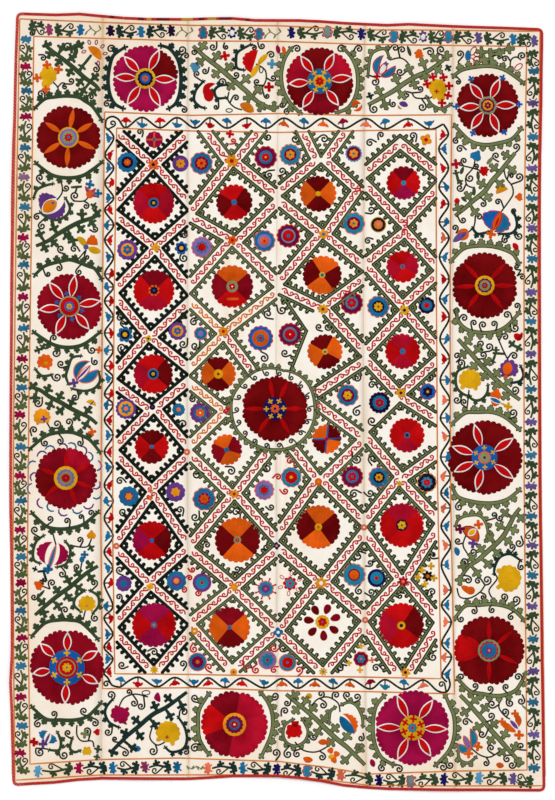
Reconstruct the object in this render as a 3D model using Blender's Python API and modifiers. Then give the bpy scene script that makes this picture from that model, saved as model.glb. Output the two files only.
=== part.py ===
"""Suzani, a Central Asian embroidered cover, lying face up on a flat surface.

Six narrow strips of hand-woven cotton are sewn side by side, and a braided red
binding is folded over all four edges. The couched silk rosettes stand out from
the strips: twelve large ones round the border, one in the middle, and smaller
ones in the diamonds of the field. Metres, +Z up, +Y towards the top of the
pattern, origin under the middle of the cloth.
"""

import math

import bmesh
import bpy

# Driving sizes, in metres
CLOTH_THICK = 0.0012
SEAM_GAP = 0.0003
BINDING_THICK = 0.0008
BINDING_REACH = 0.0085
CLEARANCE = 0.0003
SILK_RISE = 0.0008
SILK_ROOT = 0.0006
SILK_FROM_SEAM = 0.001
CORNER_RADIUS = 0.018
EDGE_LEVEL = BINDING_THICK + CLEARANCE
FOLD_REACH = 0.060
BINDING_RAMP_END = 0.038

# Grid lines near an outer edge, as distances from it, and cells between them
NEAR_EDGE = (0.0, CORNER_RADIUS / 2, CORNER_RADIUS, BINDING_RAMP_END, FOLD_REACH)
MIDDLE_ROWS = 26
OUTER_PANEL_COLUMNS = 3
INNER_PANEL_COLUMNS = 4

# Scallops of a rosette's edge: the depth of the dip between two, and each one's corners
SCALLOP_DEPTH = 0.045
SCALLOP_SHOULDERS = (0.0, 0.3, 0.7)
LARGE_SCALLOPS = 20
SMALL_SCALLOPS = 12

# A rosette that crosses a seam is raised on a strip only where its silk is at least this wide
LEAST_SILK = 0.006

# The uneven outline. Top and bottom: x, y. Left and right: y, x.
TOP_EDGE = (
    (-0.885, 1.323), (-0.739, 1.319), (-0.643, 1.322), (-0.593, 1.314),
    (-0.467, 1.305), (-0.303, 1.304), (-0.178, 1.308), (-0.069, 1.300),
    (0.077, 1.300), (0.264, 1.290), (0.349, 1.283), (0.438, 1.287),
    (0.598, 1.280), (0.757, 1.275), (0.903, 1.270),
)
BOTTOM_EDGE = (
    (-0.900, -1.304), (-0.773, -1.297), (-0.671, -1.287), (-0.593, -1.282),
    (-0.303, -1.284), (-0.127, -1.274), (0.003, -1.274), (0.077, -1.280),
    (0.145, -1.291), (0.247, -1.308), (0.349, -1.318), (0.598, -1.321),
    (0.910, -1.323),
)
LEFT_EDGE = (
    (-1.301, -0.900), (-1.080, -0.905), (-0.964, -0.910), (-0.842, -0.905),
    (-0.672, -0.904), (-0.332, -0.910), (0.008, -0.909), (0.348, -0.907),
    (0.688, -0.904), (0.858, -0.900), (1.028, -0.895), (1.164, -0.892),
    (1.320, -0.887),
)
RIGHT_EDGE = (
    (-1.318, 0.910), (-1.080, 0.907), (-0.842, 0.903), (-0.570, 0.900),
    (-0.332, 0.897), (0.348, 0.895), (0.824, 0.895), (1.028, 0.900),
    (1.266, 0.903),
)

# Seams between the strips, left to right: x at the bottom, the middle and the top
SEAMS = (
    (-0.597, -0.594, -0.592),
    (-0.301, -0.305, -0.303),
    (0.001, -0.004, 0.002),
    (0.303, 0.293, 0.298),
    (0.603, 0.597, 0.598),
)

# Soft ripples where an edge lifts: edge, middle along it, height, half its length
EDGE_RIPPLES = (
    ("top", -0.650, 0.0035, 0.17),
    ("top", -0.080, 0.0025, 0.20),
    ("top", 0.480, 0.0030, 0.22),
    ("bottom", -0.480, 0.0030, 0.20),
    ("bottom", 0.040, 0.0045, 0.24),
    ("bottom", 0.560, 0.0035, 0.22),
    ("left", -0.930, 0.0040, 0.18),
    ("left", -0.150, 0.0020, 0.25),
    ("left", 0.800, 0.0030, 0.20),
    ("right", -0.620, 0.0025, 0.24),
    ("right", 0.250, 0.0020, 0.25),
    ("right", 0.900, 0.0030, 0.20),
)

# Raised silk rosettes of the border and the middle: x, y, radius
LARGE_ROSETTES = (
    (-0.710, 0.899, 0.105),
    (-0.707, 0.326, 0.110),
    (-0.719, -0.258, 0.102),
    (-0.715, -0.904, 0.124),
    (-0.448, 1.098, 0.110),
    (0.144, 1.089, 0.114),
    (0.715, 1.008, 0.105),
    (0.705, 0.399, 0.110),
    (0.704, -0.190, 0.124),
    (0.720, -0.845, 0.119),
    (-0.146, -1.096, 0.112),
    (0.459, -1.108, 0.128),
    (-0.008, -0.023, 0.112),
)

# Raised silk rosettes of the diamonds: x, y, radius
LATTICE_ROSETTES = (
    (-0.420, 0.677, 0.068),
    (-0.419, 0.381, 0.070),
    (-0.423, 0.096, 0.066),
    (-0.427, -0.152, 0.058),
    (-0.426, -0.471, 0.066),
    (-0.419, -0.758, 0.073),
    (-0.147, 0.679, 0.061),
    (-0.154, 0.393, 0.071),
    (-0.201, 0.095, 0.059),
    (-0.172, -0.163, 0.053),
    (-0.136, -0.468, 0.076),
    (-0.163, -0.766, 0.070),
    (0.139, 0.708, 0.061),
    (0.153, 0.432, 0.066),
    (0.162, 0.171, 0.059),
    (0.168, -0.125, 0.049),
    (0.140, -0.424, 0.075),
    (0.429, 0.745, 0.058),
    (0.426, 0.461, 0.054),
    (0.426, 0.172, 0.061),
    (0.441, -0.113, 0.059),
    (0.423, -0.420, 0.075),
    (0.422, -0.760, 0.076),
)


def clear_scene():
    for obj in list(bpy.data.objects):
        bpy.data.objects.remove(obj, do_unlink=True)


def material(name, colour, roughness):
    made = bpy.data.materials.new(name)
    made.use_nodes = True
    shader = made.node_tree.nodes["Principled BSDF"]
    shader.inputs["Base Color"].default_value = (*colour, 1.0)
    shader.inputs["Roughness"].default_value = roughness
    shader.inputs["Metallic"].default_value = 0.0
    return made


def eased(share):
    """0 to 1 with level ends."""
    share = min(max(share, 0.0), 1.0)
    return share * share * (3.0 - 2.0 * share)


def read_edge(table, along):
    """The outline's other coordinate at a place along that edge."""
    if along <= table[0][0]:
        return table[0][1]
    for (low, low_value), (high, high_value) in zip(table, table[1:]):
        if along <= high:
            return low_value + (high_value - low_value) * eased((along - low) / (high - low))
    return table[-1][1]


def read_seam(seam, y):
    bottom, middle, top = seam
    half_length = 1.3
    end = top if y > 0 else bottom
    return middle + (end - middle) * min(abs(y) / half_length, 1.0)


def fades(distance, end):
    """1 under the binding and out to the corner radius, falling to 0 at end."""
    return 1.0 - eased((distance - CORNER_RADIUS) / (end - CORNER_RADIUS))


def ripple(edge, along):
    total = 0.0
    for name, middle, height, half in EDGE_RIPPLES:
        offset = abs(along - middle)
        if name == edge and offset < half:
            total += height * (0.5 + 0.5 * math.cos(math.pi * offset / half))
    return total


def edge_lift(edge, along, distance):
    """How far one edge holds the cloth's underside off the surface."""
    return EDGE_LEVEL * fades(distance, BINDING_RAMP_END) + ripple(edge, along) * fades(distance, FOLD_REACH)


def lift(x, y):
    return max(
        edge_lift("left", y, x - read_edge(LEFT_EDGE, y)),
        edge_lift("right", y, read_edge(RIGHT_EDGE, y) - x),
        edge_lift("bottom", x, y - read_edge(BOTTOM_EDGE, x)),
        edge_lift("top", x, read_edge(TOP_EDGE, x) - y),
    )


def row_distances():
    """Each grid row: its distance from the bottom edge or the top edge, or its share between them."""
    rows = [("bottom", distance) for distance in NEAR_EDGE]
    rows += [("between", row / MIDDLE_ROWS) for row in range(1, MIDDLE_ROWS)]
    rows += [("top", distance) for distance in reversed(NEAR_EDGE)]
    return rows


def row_y(row, x):
    kind, value = row
    low = read_edge(BOTTOM_EDGE, x)
    high = read_edge(TOP_EDGE, x)
    if kind == "bottom":
        return low + value
    if kind == "top":
        return high - value
    return low + FOLD_REACH + (high - low - 2 * FOLD_REACH) * value


def column_x(column, y):
    kind, value, left_side, right_side = column
    low = left_side(y)
    high = right_side(y)
    if kind == "left":
        return low + value
    if kind == "right":
        return high - value
    return low + (high - low) * value


def seam_side(index, side):
    """One strip's own edge at a seam, half the sewing gap away from it."""
    return lambda y: read_seam(SEAMS[index], y) + side * SEAM_GAP / 2


def panel_columns(index):
    """The grid columns of one strip: which edge each is measured from, and how far."""
    first = index == 0
    last = index == len(SEAMS)
    left = (lambda y: read_edge(LEFT_EDGE, y)) if first else seam_side(index - 1, 1)
    right = (lambda y: read_edge(RIGHT_EDGE, y)) if last else seam_side(index, -1)
    if not first and not last:
        count = INNER_PANEL_COLUMNS
        return [("between", step / count, left, right) for step in range(count + 1)]
    near = [("left" if first else "right", distance, left, right) for distance in NEAR_EDGE]
    inside = FOLD_REACH / (right(0.0) - left(0.0))
    spread = [inside + (1.0 - inside) * step / OUTER_PANEL_COLUMNS for step in range(1, OUTER_PANEL_COLUMNS + 1)]
    if first:
        return near + [("between", share, left, right) for share in spread]
    return [("between", 1.0 - share, left, right) for share in reversed(spread)] + near[::-1]


def rounded_corner(distance_x, distance_y):
    """Where an outline point near a corner moves to: its distances from the two edges."""
    if distance_x == 0.0 and distance_y == 0.0:
        inset = CORNER_RADIUS * (1.0 - math.sqrt(0.5))
        return inset, inset
    if distance_x == 0.0 and distance_y < CORNER_RADIUS:
        return CORNER_RADIUS - math.sqrt(CORNER_RADIUS**2 - (CORNER_RADIUS - distance_y) ** 2), distance_y
    if distance_y == 0.0 and distance_x < CORNER_RADIUS:
        return distance_x, CORNER_RADIUS - math.sqrt(CORNER_RADIUS**2 - (CORNER_RADIUS - distance_x) ** 2)
    return distance_x, distance_y


def panel_point(column, row):
    """A point of a strip's underside, with the cloth's corners rounded."""
    nominal_y = row_y(row, column_x(column, 0.0))
    x = column_x(column, nominal_y)
    y = row_y(row, x)
    from_side, side_distance = column[0], column[1]
    from_end, end_distance = row
    if from_side != "between" and from_end != "between":
        round_x, round_y = rounded_corner(side_distance, end_distance)
        x += (round_x - side_distance) * (1 if from_side == "left" else -1)
        y += (round_y - end_distance) * (1 if from_end == "bottom" else -1)
    return x, y


def add_object(name, data, silk, collection):
    obj = bpy.data.objects.new(name, data)
    obj.data.materials.append(silk)
    collection.objects.link(obj)
    return obj


def solidify(obj, thickness, offset):
    shell = obj.modifiers.new("cloth thickness", "SOLIDIFY")
    shell.thickness = thickness
    shell.offset = offset
    shell.use_even_offset = True


def sheet_mesh(name, across, along, place):
    """A grid of across by along points, each moved to where place puts it."""
    mesh = bpy.data.meshes.new(name)
    grid = bmesh.new()
    bmesh.ops.create_grid(grid, x_segments=across - 1, y_segments=along - 1, size=1.0)
    for vert in grid.verts:
        i = round((vert.co.x + 1.0) / 2.0 * (across - 1))
        j = round((vert.co.y + 1.0) / 2.0 * (along - 1))
        vert.co = place(i, j)
    grid.to_mesh(mesh)
    grid.free()
    return mesh


def make_panel(index, cotton, collection, centre):
    columns = panel_columns(index)
    rows = row_distances()

    def place(i, j):
        x, y = panel_point(columns[i], rows[j])
        return x - centre[0], y - centre[1], lift(x, y)

    name = f"panel_{index + 1}"
    mesh = sheet_mesh(name, len(columns), len(rows), place)
    panel = add_object(name, mesh, cotton, collection)
    solidify(panel, CLOTH_THICK, 1.0)
    return panel


def corner_stations(side, end):
    """The binding's path round one rounded corner: x, y and the way in, from the side to the end."""
    x_way = 1 if side == "left" else -1
    y_way = 1 if end == "bottom" else -1
    side_table = LEFT_EDGE if side == "left" else RIGHT_EDGE
    end_table = BOTTOM_EDGE if end == "bottom" else TOP_EDGE
    made = []
    for degrees in (0, 30, 45, 60, 90):
        turn = math.radians(degrees)
        distance_x = CORNER_RADIUS * (1.0 - math.cos(turn))
        distance_y = CORNER_RADIUS * (1.0 - math.sin(turn))
        x, y = side_table[0][1], end_table[0][1]
        for _ in range(4):
            x = read_edge(side_table, y) + x_way * distance_x
            y = read_edge(end_table, x) + y_way * distance_y
        made.append((x, y, x_way * math.cos(turn), y_way * math.sin(turn)))
    return made


def shortened(station, towards):
    """A strip's last station, pulled back by half the gap between two strips' ends."""
    x, y, in_x, in_y = station
    length = math.hypot(towards[0] - x, towards[1] - y)
    share = CLEARANCE / 2 / length
    return x + (towards[0] - x) * share, y + (towards[1] - y) * share, in_x, in_y


def side_stations(side):
    """Left or right binding: up the whole side and round both corners."""
    column = panel_columns(0 if side == "left" else len(SEAMS))[0 if side == "left" else -1]
    inward = 1 if side == "left" else -1
    middle = [
        (*panel_point(column, row), inward, 0.0)
        for row in row_distances()
        if row[0] == "between" or row[1] > CORNER_RADIUS
    ]
    stations = corner_stations(side, "bottom")[::-1] + middle + corner_stations(side, "top")
    stations[0] = shortened(stations[0], stations[1])
    stations[-1] = shortened(stations[-1], stations[-2])
    return stations


def end_stations(end):
    """Top or bottom binding: across all the strips, between the two corners."""
    row = (end, 0.0)
    inward = 1 if end == "bottom" else -1
    first = corner_stations("left", end)[-1]
    last = corner_stations("right", end)[-1]
    middle = []
    for index in range(len(SEAMS) + 1):
        for column in panel_columns(index):
            x, y = panel_point(column, row)
            if first[0] + CLEARANCE < x < last[0] - CLEARANCE:
                if not middle or x - middle[-1][0] > 2 * SEAM_GAP:
                    middle.append((x, y, 0.0, inward))
    stations = [first] + middle + [last]
    stations[0] = shortened(first, middle[0])
    stations[-1] = shortened(last, middle[-1])
    return stations


def binding_profile():
    """The folded braid in section: distance in from the cloth's edge, height over its underside."""
    off = CLEARANCE + BINDING_THICK / 2
    cut = off * (math.sqrt(2.0) - 1.0)
    return (
        (BINDING_REACH, -off),
        (-cut, -off),
        (-off, -cut),
        (-off, CLOTH_THICK + cut),
        (-cut, CLOTH_THICK + off),
        (BINDING_REACH, CLOTH_THICK + off),
    )


def make_binding(name, stations, braid, collection, centre):
    profile = binding_profile()

    def place(i, j):
        x, y, in_x, in_y = stations[j]
        inward, height = profile[i]
        return x + in_x * inward - centre[0], y + in_y * inward - centre[1], lift(x, y) + height

    mesh = sheet_mesh(name, len(profile), len(stations), place)
    binding = add_object(name, mesh, braid, collection)
    solidify(binding, BINDING_THICK, 0.0)
    return binding


def rosette_outline(x, y, radius, scallops):
    """A scalloped ring of points, with a dip where two scallops meet."""
    points = []
    for scallop in range(scallops):
        for shoulder in SCALLOP_SHOULDERS:
            turn = math.tau * (scallop + shoulder) / scallops
            reach = radius * (1.0 - SCALLOP_DEPTH if shoulder == 0.0 else 1.0)
            points.append((x + reach * math.cos(turn), y + reach * math.sin(turn)))
    return points


def clipped(outline, seam_x, side):
    """The part of an outline to the left (1) or the right (-1) of a seam."""
    kept = []
    for (x1, y1), (x2, y2) in zip(outline, outline[1:] + outline[:1]):
        first_in = (seam_x - x1) * side > 0
        second_in = (seam_x - x2) * side > 0
        if first_in:
            kept.append((x1, y1))
        if first_in != second_in:
            share = (seam_x - x1) / (x2 - x1)
            kept.append((seam_x, y1 + (y2 - y1) * share))
    return kept


def add_prism(shape, outline):
    """A closed prism from inside the cloth to the top of the silk."""
    low = [shape.verts.new((x, y, CLOTH_THICK - SILK_ROOT)) for x, y in outline]
    high = [shape.verts.new((x, y, CLOTH_THICK + SILK_RISE)) for x, y in outline]
    shape.faces.new(low[::-1])
    shape.faces.new(high)
    for i in range(len(outline)):
        j = (i + 1) % len(outline)
        shape.faces.new((low[i], low[j], high[j], high[i]))


def raise_rosettes(panel, index, collection, centre):
    """Joins the silk that lies on one strip to that strip."""
    shape = bmesh.new()
    rosettes = [(*row, LARGE_SCALLOPS) for row in LARGE_ROSETTES]
    rosettes += [(*row, SMALL_SCALLOPS) for row in LATTICE_ROSETTES]
    for x, y, radius, scallops in rosettes:
        left = read_seam(SEAMS[index - 1], y) + SILK_FROM_SEAM if index > 0 else -math.inf
        right = read_seam(SEAMS[index], y) - SILK_FROM_SEAM if index < len(SEAMS) else math.inf
        if min(x + radius, right) - max(x - radius, left) < LEAST_SILK:
            continue
        outline = rosette_outline(x, y, radius, scallops)
        if left > x - radius:
            outline = clipped(outline, left, -1)
        if right < x + radius:
            outline = clipped(outline, right, 1)
        add_prism(shape, [(px - centre[0], py - centre[1]) for px, py in outline])
    mesh = bpy.data.meshes.new(f"silk_{index + 1}")
    shape.to_mesh(mesh)
    shape.free()
    silk = add_object(f"silk_{index + 1}", mesh, panel.data.materials[0], collection)
    silk.hide_render = True
    silk.hide_set(True)
    join = panel.modifiers.new("raised silk", "BOOLEAN")
    join.operation = "UNION"
    join.solver = "EXACT"
    join.object = silk


def outline_centre(paths):
    """The middle of the bound cloth's box, which becomes the origin."""
    reach = CLEARANCE + BINDING_THICK
    xs = [x - in_x * reach for path in paths for x, y, in_x, in_y in path]
    ys = [y - in_y * reach for path in paths for x, y, in_x, in_y in path]
    return (min(xs) + max(xs)) / 2, (min(ys) + max(ys)) / 2


def main():
    clear_scene()
    collection = bpy.data.collections.new("suzani")
    bpy.context.scene.collection.children.link(collection)
    cotton = material("hand-woven cotton", (0.82, 0.76, 0.65), 0.9)
    braid = material("braided binding", (0.50, 0.02, 0.02), 0.8)

    bindings = {
        "binding_left": side_stations("left"),
        "binding_right": side_stations("right"),
        "binding_top": end_stations("top"),
        "binding_bottom": end_stations("bottom"),
    }
    centre = outline_centre(bindings.values())
    for index in range(len(SEAMS) + 1):
        panel = make_panel(index, cotton, collection, centre)
        raise_rosettes(panel, index, collection, centre)
    for name, stations in bindings.items():
        make_binding(name, stations, braid, collection, centre)


main()
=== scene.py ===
import math
import random

import bmesh
import bpy
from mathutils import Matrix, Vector, noise
from mathutils.bvhtree import BVHTree


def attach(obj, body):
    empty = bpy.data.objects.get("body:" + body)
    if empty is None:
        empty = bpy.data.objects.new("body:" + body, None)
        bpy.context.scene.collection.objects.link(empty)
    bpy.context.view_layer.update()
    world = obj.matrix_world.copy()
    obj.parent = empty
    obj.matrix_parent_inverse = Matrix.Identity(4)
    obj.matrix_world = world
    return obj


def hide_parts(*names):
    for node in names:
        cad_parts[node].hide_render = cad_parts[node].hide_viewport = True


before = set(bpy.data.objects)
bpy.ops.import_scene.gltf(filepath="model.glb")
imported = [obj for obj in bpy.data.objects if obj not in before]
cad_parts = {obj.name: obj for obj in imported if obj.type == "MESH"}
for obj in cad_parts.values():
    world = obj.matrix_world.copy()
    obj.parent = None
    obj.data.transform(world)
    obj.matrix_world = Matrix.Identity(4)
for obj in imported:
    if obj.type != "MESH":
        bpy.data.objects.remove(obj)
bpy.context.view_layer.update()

bl_info = {
    "name": "Suzani",
    "version": (1, 0, 0),
    "blender": (4, 5, 0),
    "location": "View3D > Sidebar > Suzani",
    "description": "Sews the silk of a suzani on its six strips of cotton and lays it out",
    "category": "Add Mesh",
}

# The drawing on the cloth is charted in units of 3.4 mm, to the right and down,
# and this place of the chart lies on the middle of the cloth.
UNIT = 0.0034
CHART_MIDDLE = (277.3, 402.0)

PANELS = [f"panel_{number}" for number in range(1, 7)]
BINDINGS = ["binding_top", "binding_right", "binding_bottom", "binding_left"]

# Dyed silks: name, then red, green and blue as seen, 0 to 255
SILKS = {
    "garnet": (99, 3, 6), "crimson": (121, 4, 21), "red": (178, 6, 10), "rose": (158, 8, 34),
    "scroll_red": (184, 28, 34), "magenta": (142, 7, 57), "wine": (104, 8, 56), "mauve": (140, 50, 92),
    "orange": (212, 84, 12), "amber": (216, 134, 14), "tangerine": (212, 114, 14), "steel": (44, 102, 132),
    "yellow": (208, 154, 14), "salmon": (220, 104, 72), "guard": (206, 128, 66), "blue": (21, 97, 139),
    "royal": (14, 84, 156), "teal": (26, 116, 146), "sky": (76, 136, 170), "navy": (20, 18, 84),
    "ink": (26, 10, 44), "purple": (94, 52, 124), "lavender": (120, 98, 158), "violet": (94, 76, 132),
    "green": (108, 116, 74), "leaf": (50, 67, 43), "moss": (76, 87, 50), "heather": (138, 100, 128),
    "pine": (26, 46, 42), "black": (20, 26, 20), "line": (34, 38, 26), "grey_green": (122, 134, 96),
    "grey": (110, 136, 134), "cream": (244, 236, 220),
}

# The large rosettes: place, radius, silks of the six lobes from the first ray on, directions of the rays,
# kind of ray, and the hub's rings from outside, each with its silk, its radius and, for a scalloped one,
# the number of scallops. The rays are red unless their silk is given.
# Where neighbouring lobes alternate between nearby reds, the lighter and darker red is partly painted sheen:
# threads laid in another direction catch the light differently.
LARGE_ROSETTES = (
    dict(u=68.5, v=137.5, r=31.5, lobes="garnet", rays="31 80 147 213 267 336", ray="lens",
         hub="yellow 10.6, lavender 9, grey_green 6.6, red 4.6 8, blue 1.7", silk="orange"),
    dict(u=69.5, v=306.5, r=32.5, lobes="crimson", rays="10 80 130 186 244 311", ray="petal",
         hub="grey_green 10.8, red 9.4, royal 5.2, yellow 3.6 7, lavender 1.1"),
    dict(u=65.8, v=478, r=30.5, lobes="rose crimson garnet crimson crimson crimson",
         rays="30 88 160 222 293 340", ray="wedge",
         hub="yellow 12, lavender 9.3 12, grey_green 6.8, red 4.7 9, teal 0.8"),
    dict(u=67, v=667.5, r=37, lobes="crimson", rays="28 89 138 190 267 333", ray="petal",
         hub="royal 18, red 11.3, grey_green 9, red 7.8, yellow 5.2 8, violet 1.3"),
    dict(u=145.4, v=78.5, r=32.5, lobes="magenta magenta magenta magenta magenta garnet",
         rays="64 134 177 235 298 358", ray="petal",
         hub="yellow 10.4, ink 8.2 12, royal 5.6, orange 3.6 6, blue 1.3"),
    dict(u=319.7, v=81.3, r=33.5, lobes="rose garnet rose garnet crimson garnet",
         rays="7 63 127 185 237 308", ray="petal",
         hub="blue 12.6, yellow 6.8, red 4.9 7, teal 0.9"),
    dict(u=487.7, v=105.5, r=31, lobes="garnet", rays="1 66 129 185 235 292", ray="petal",
         hub="grey_green 9.4 11, wine 7.5 9, amber 5.4, wine 3.9 6, amber 1.1"),
    dict(u=484.7, v=285.5, r=32.5, lobes="garnet", rays="0 47 133 183 233 308", ray="wedge",
         hub="yellow 10, wine 7.6 10, grey_green 5.6, red 3.7 7, blue 1.5"),
    dict(u=484.5, v=457.5, r=37, lobes="garnet", rays="34 107 161 205 256 324", ray="petal",
         hub="royal 12.9, orange 6.5, grey_green 5.2, wine 1.7"),
    dict(u=489, v=650.4, r=34.5, lobes="garnet garnet red garnet garnet garnet",
         rays="40 90 150 200 270 335", ray="wedge",
         hub="grey_green 11.3, red 9.7 12, blue 8.1 10, purple 4.3 7, amber 1.4"),
    dict(u=234.5, v=724.4, r=33, lobes="rose crimson red crimson rose rose",
         rays="20 80 140 200 260 320", ray="none",
         hub="amber 11.8, wine 9.2 14, blue 5.7, red 4.1 9, cream 1.3"),
    dict(u=412.4, v=727.8, r=37, lobes="magenta", rays="54 115 179 245 303 358", ray="petal",
         hub="yellow 12.8, red 5.4 8, teal 4.4, red 1.7"),
    dict(u=275, v=408.7, r=32.5, lobes="garnet", rays="0 65 100 180 235 300", ray="wedge",
         hub="navy 11.9, orange 5 8, navy 1.7"),
)

# Small crosses sewn in a ring on or round a large rosette's hub:
# place of the rosette, number, radius of the ring, direction, size, silk
HUB_CROSSES = (
    (67, 667.5, 6, 14.6, 30, 3.4, "yellow"),
    (319.7, 81.3, 6, 9.7, 4, 2.9, "yellow"),
    (484.5, 457.5, 6, 9.7, 32, 2.6, "yellow"),
    (275, 408.7, 6, 8.6, 2, 2.8, "yellow"),
    (412.4, 727.8, 6, 9.0, 24, 3.6, "red"),
    (487.7, 105.5, 6, 31.5, 2, 3.2, "royal"),
    (69.5, 306.5, 6, 13.2, 42, 2.3, "royal"),
)

# The lattice rosettes: place, radius, silks to the top, right, bottom and left, turn, hub
# Where neighbouring quarters alternate between nearby reds, the lighter and darker red is partly painted
# sheen: threads laid in another direction catch the light differently.
LATTICE_ROSETTES = (
    (153.7, 203, 20.5, "red rose red rose", 0, "blue 5.3, ink 3.6, yellow 1.8"),
    (154, 290.5, 20.5, "crimson red rose red", 0, "orange 6 8, ink 4.6 8, blue 1.3"),
    (153.2, 374, 19.6, "red garnet red rose", 8, "blue 5.6, ink 4, yellow 2"),
    (151.8, 446.7, 17, "garnet red garnet red", 0, "blue 2.2"),
    (152, 540.5, 19.5, "red garnet red magenta", 0, "royal 2.2"),
    (154, 625, 22, "magenta red magenta red", 0, "blue 3.2, salmon 1.5"),
    (234.2, 202.4, 18, "red garnet red garnet", 10, "blue 2.9"),
    (232.2, 286.5, 21, "orange crimson red crimson", 0, "grey_green 6, red 3.8 4, cream 1"),
    (218.3, 374, 17.3, "garnet orange garnet orange", 0, "yellow 4.8, red 1.8"),
    (226.6, 449.8, 15.3, "orange crimson orange crimson", 24, "blue 2.6"),
    (237.4, 540, 22.5, "orange garnet orange garnet", 0, "grey_green 3.9, red 2.2, orange 1"),
    (229.5, 627.2, 20.5, "crimson orange garnet orange", 0, "blue 2.4, purple 1.2"),
    (318.1, 193.8, 18, "garnet orange garnet orange", 0, "yellow 2.7"),
    (322.2, 275, 19.3, "orange garnet orange garnet", -12, "yellow 3.2, blue 2"),
    (325, 351.7, 17.4, "garnet orange garnet orange", 18, "yellow 3.1, blue 1.6"),
    (326.7, 439, 14.6, "orange garnet orange garnet", 40, "red 2"),
    (318.4, 527, 21.8, "orange garnet orange garnet", -6, "yellow 3.8, orange 1.8"),
    (403.5, 183, 16.8, "crimson red magenta red", 0, "teal 2.6"),
    (402.6, 266.6, 16, "red rose red rose", 12, "blue 2.6, red 1.4"),
    (402.6, 351.4, 17.6, "rose red rose red", 0, "blue 2.9"),
    (407, 435.2, 17.3, "red red rose red", 0, "blue 3, ink 1.6"),
    (401.8, 525.2, 22, "rose red red red", 0, "ink 6, yellow 4.6 6, wine 1.2"),
    (401.3, 625.5, 22.6, "red garnet red rose", 10, "yellow 4.2, ink 2"),
)

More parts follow.
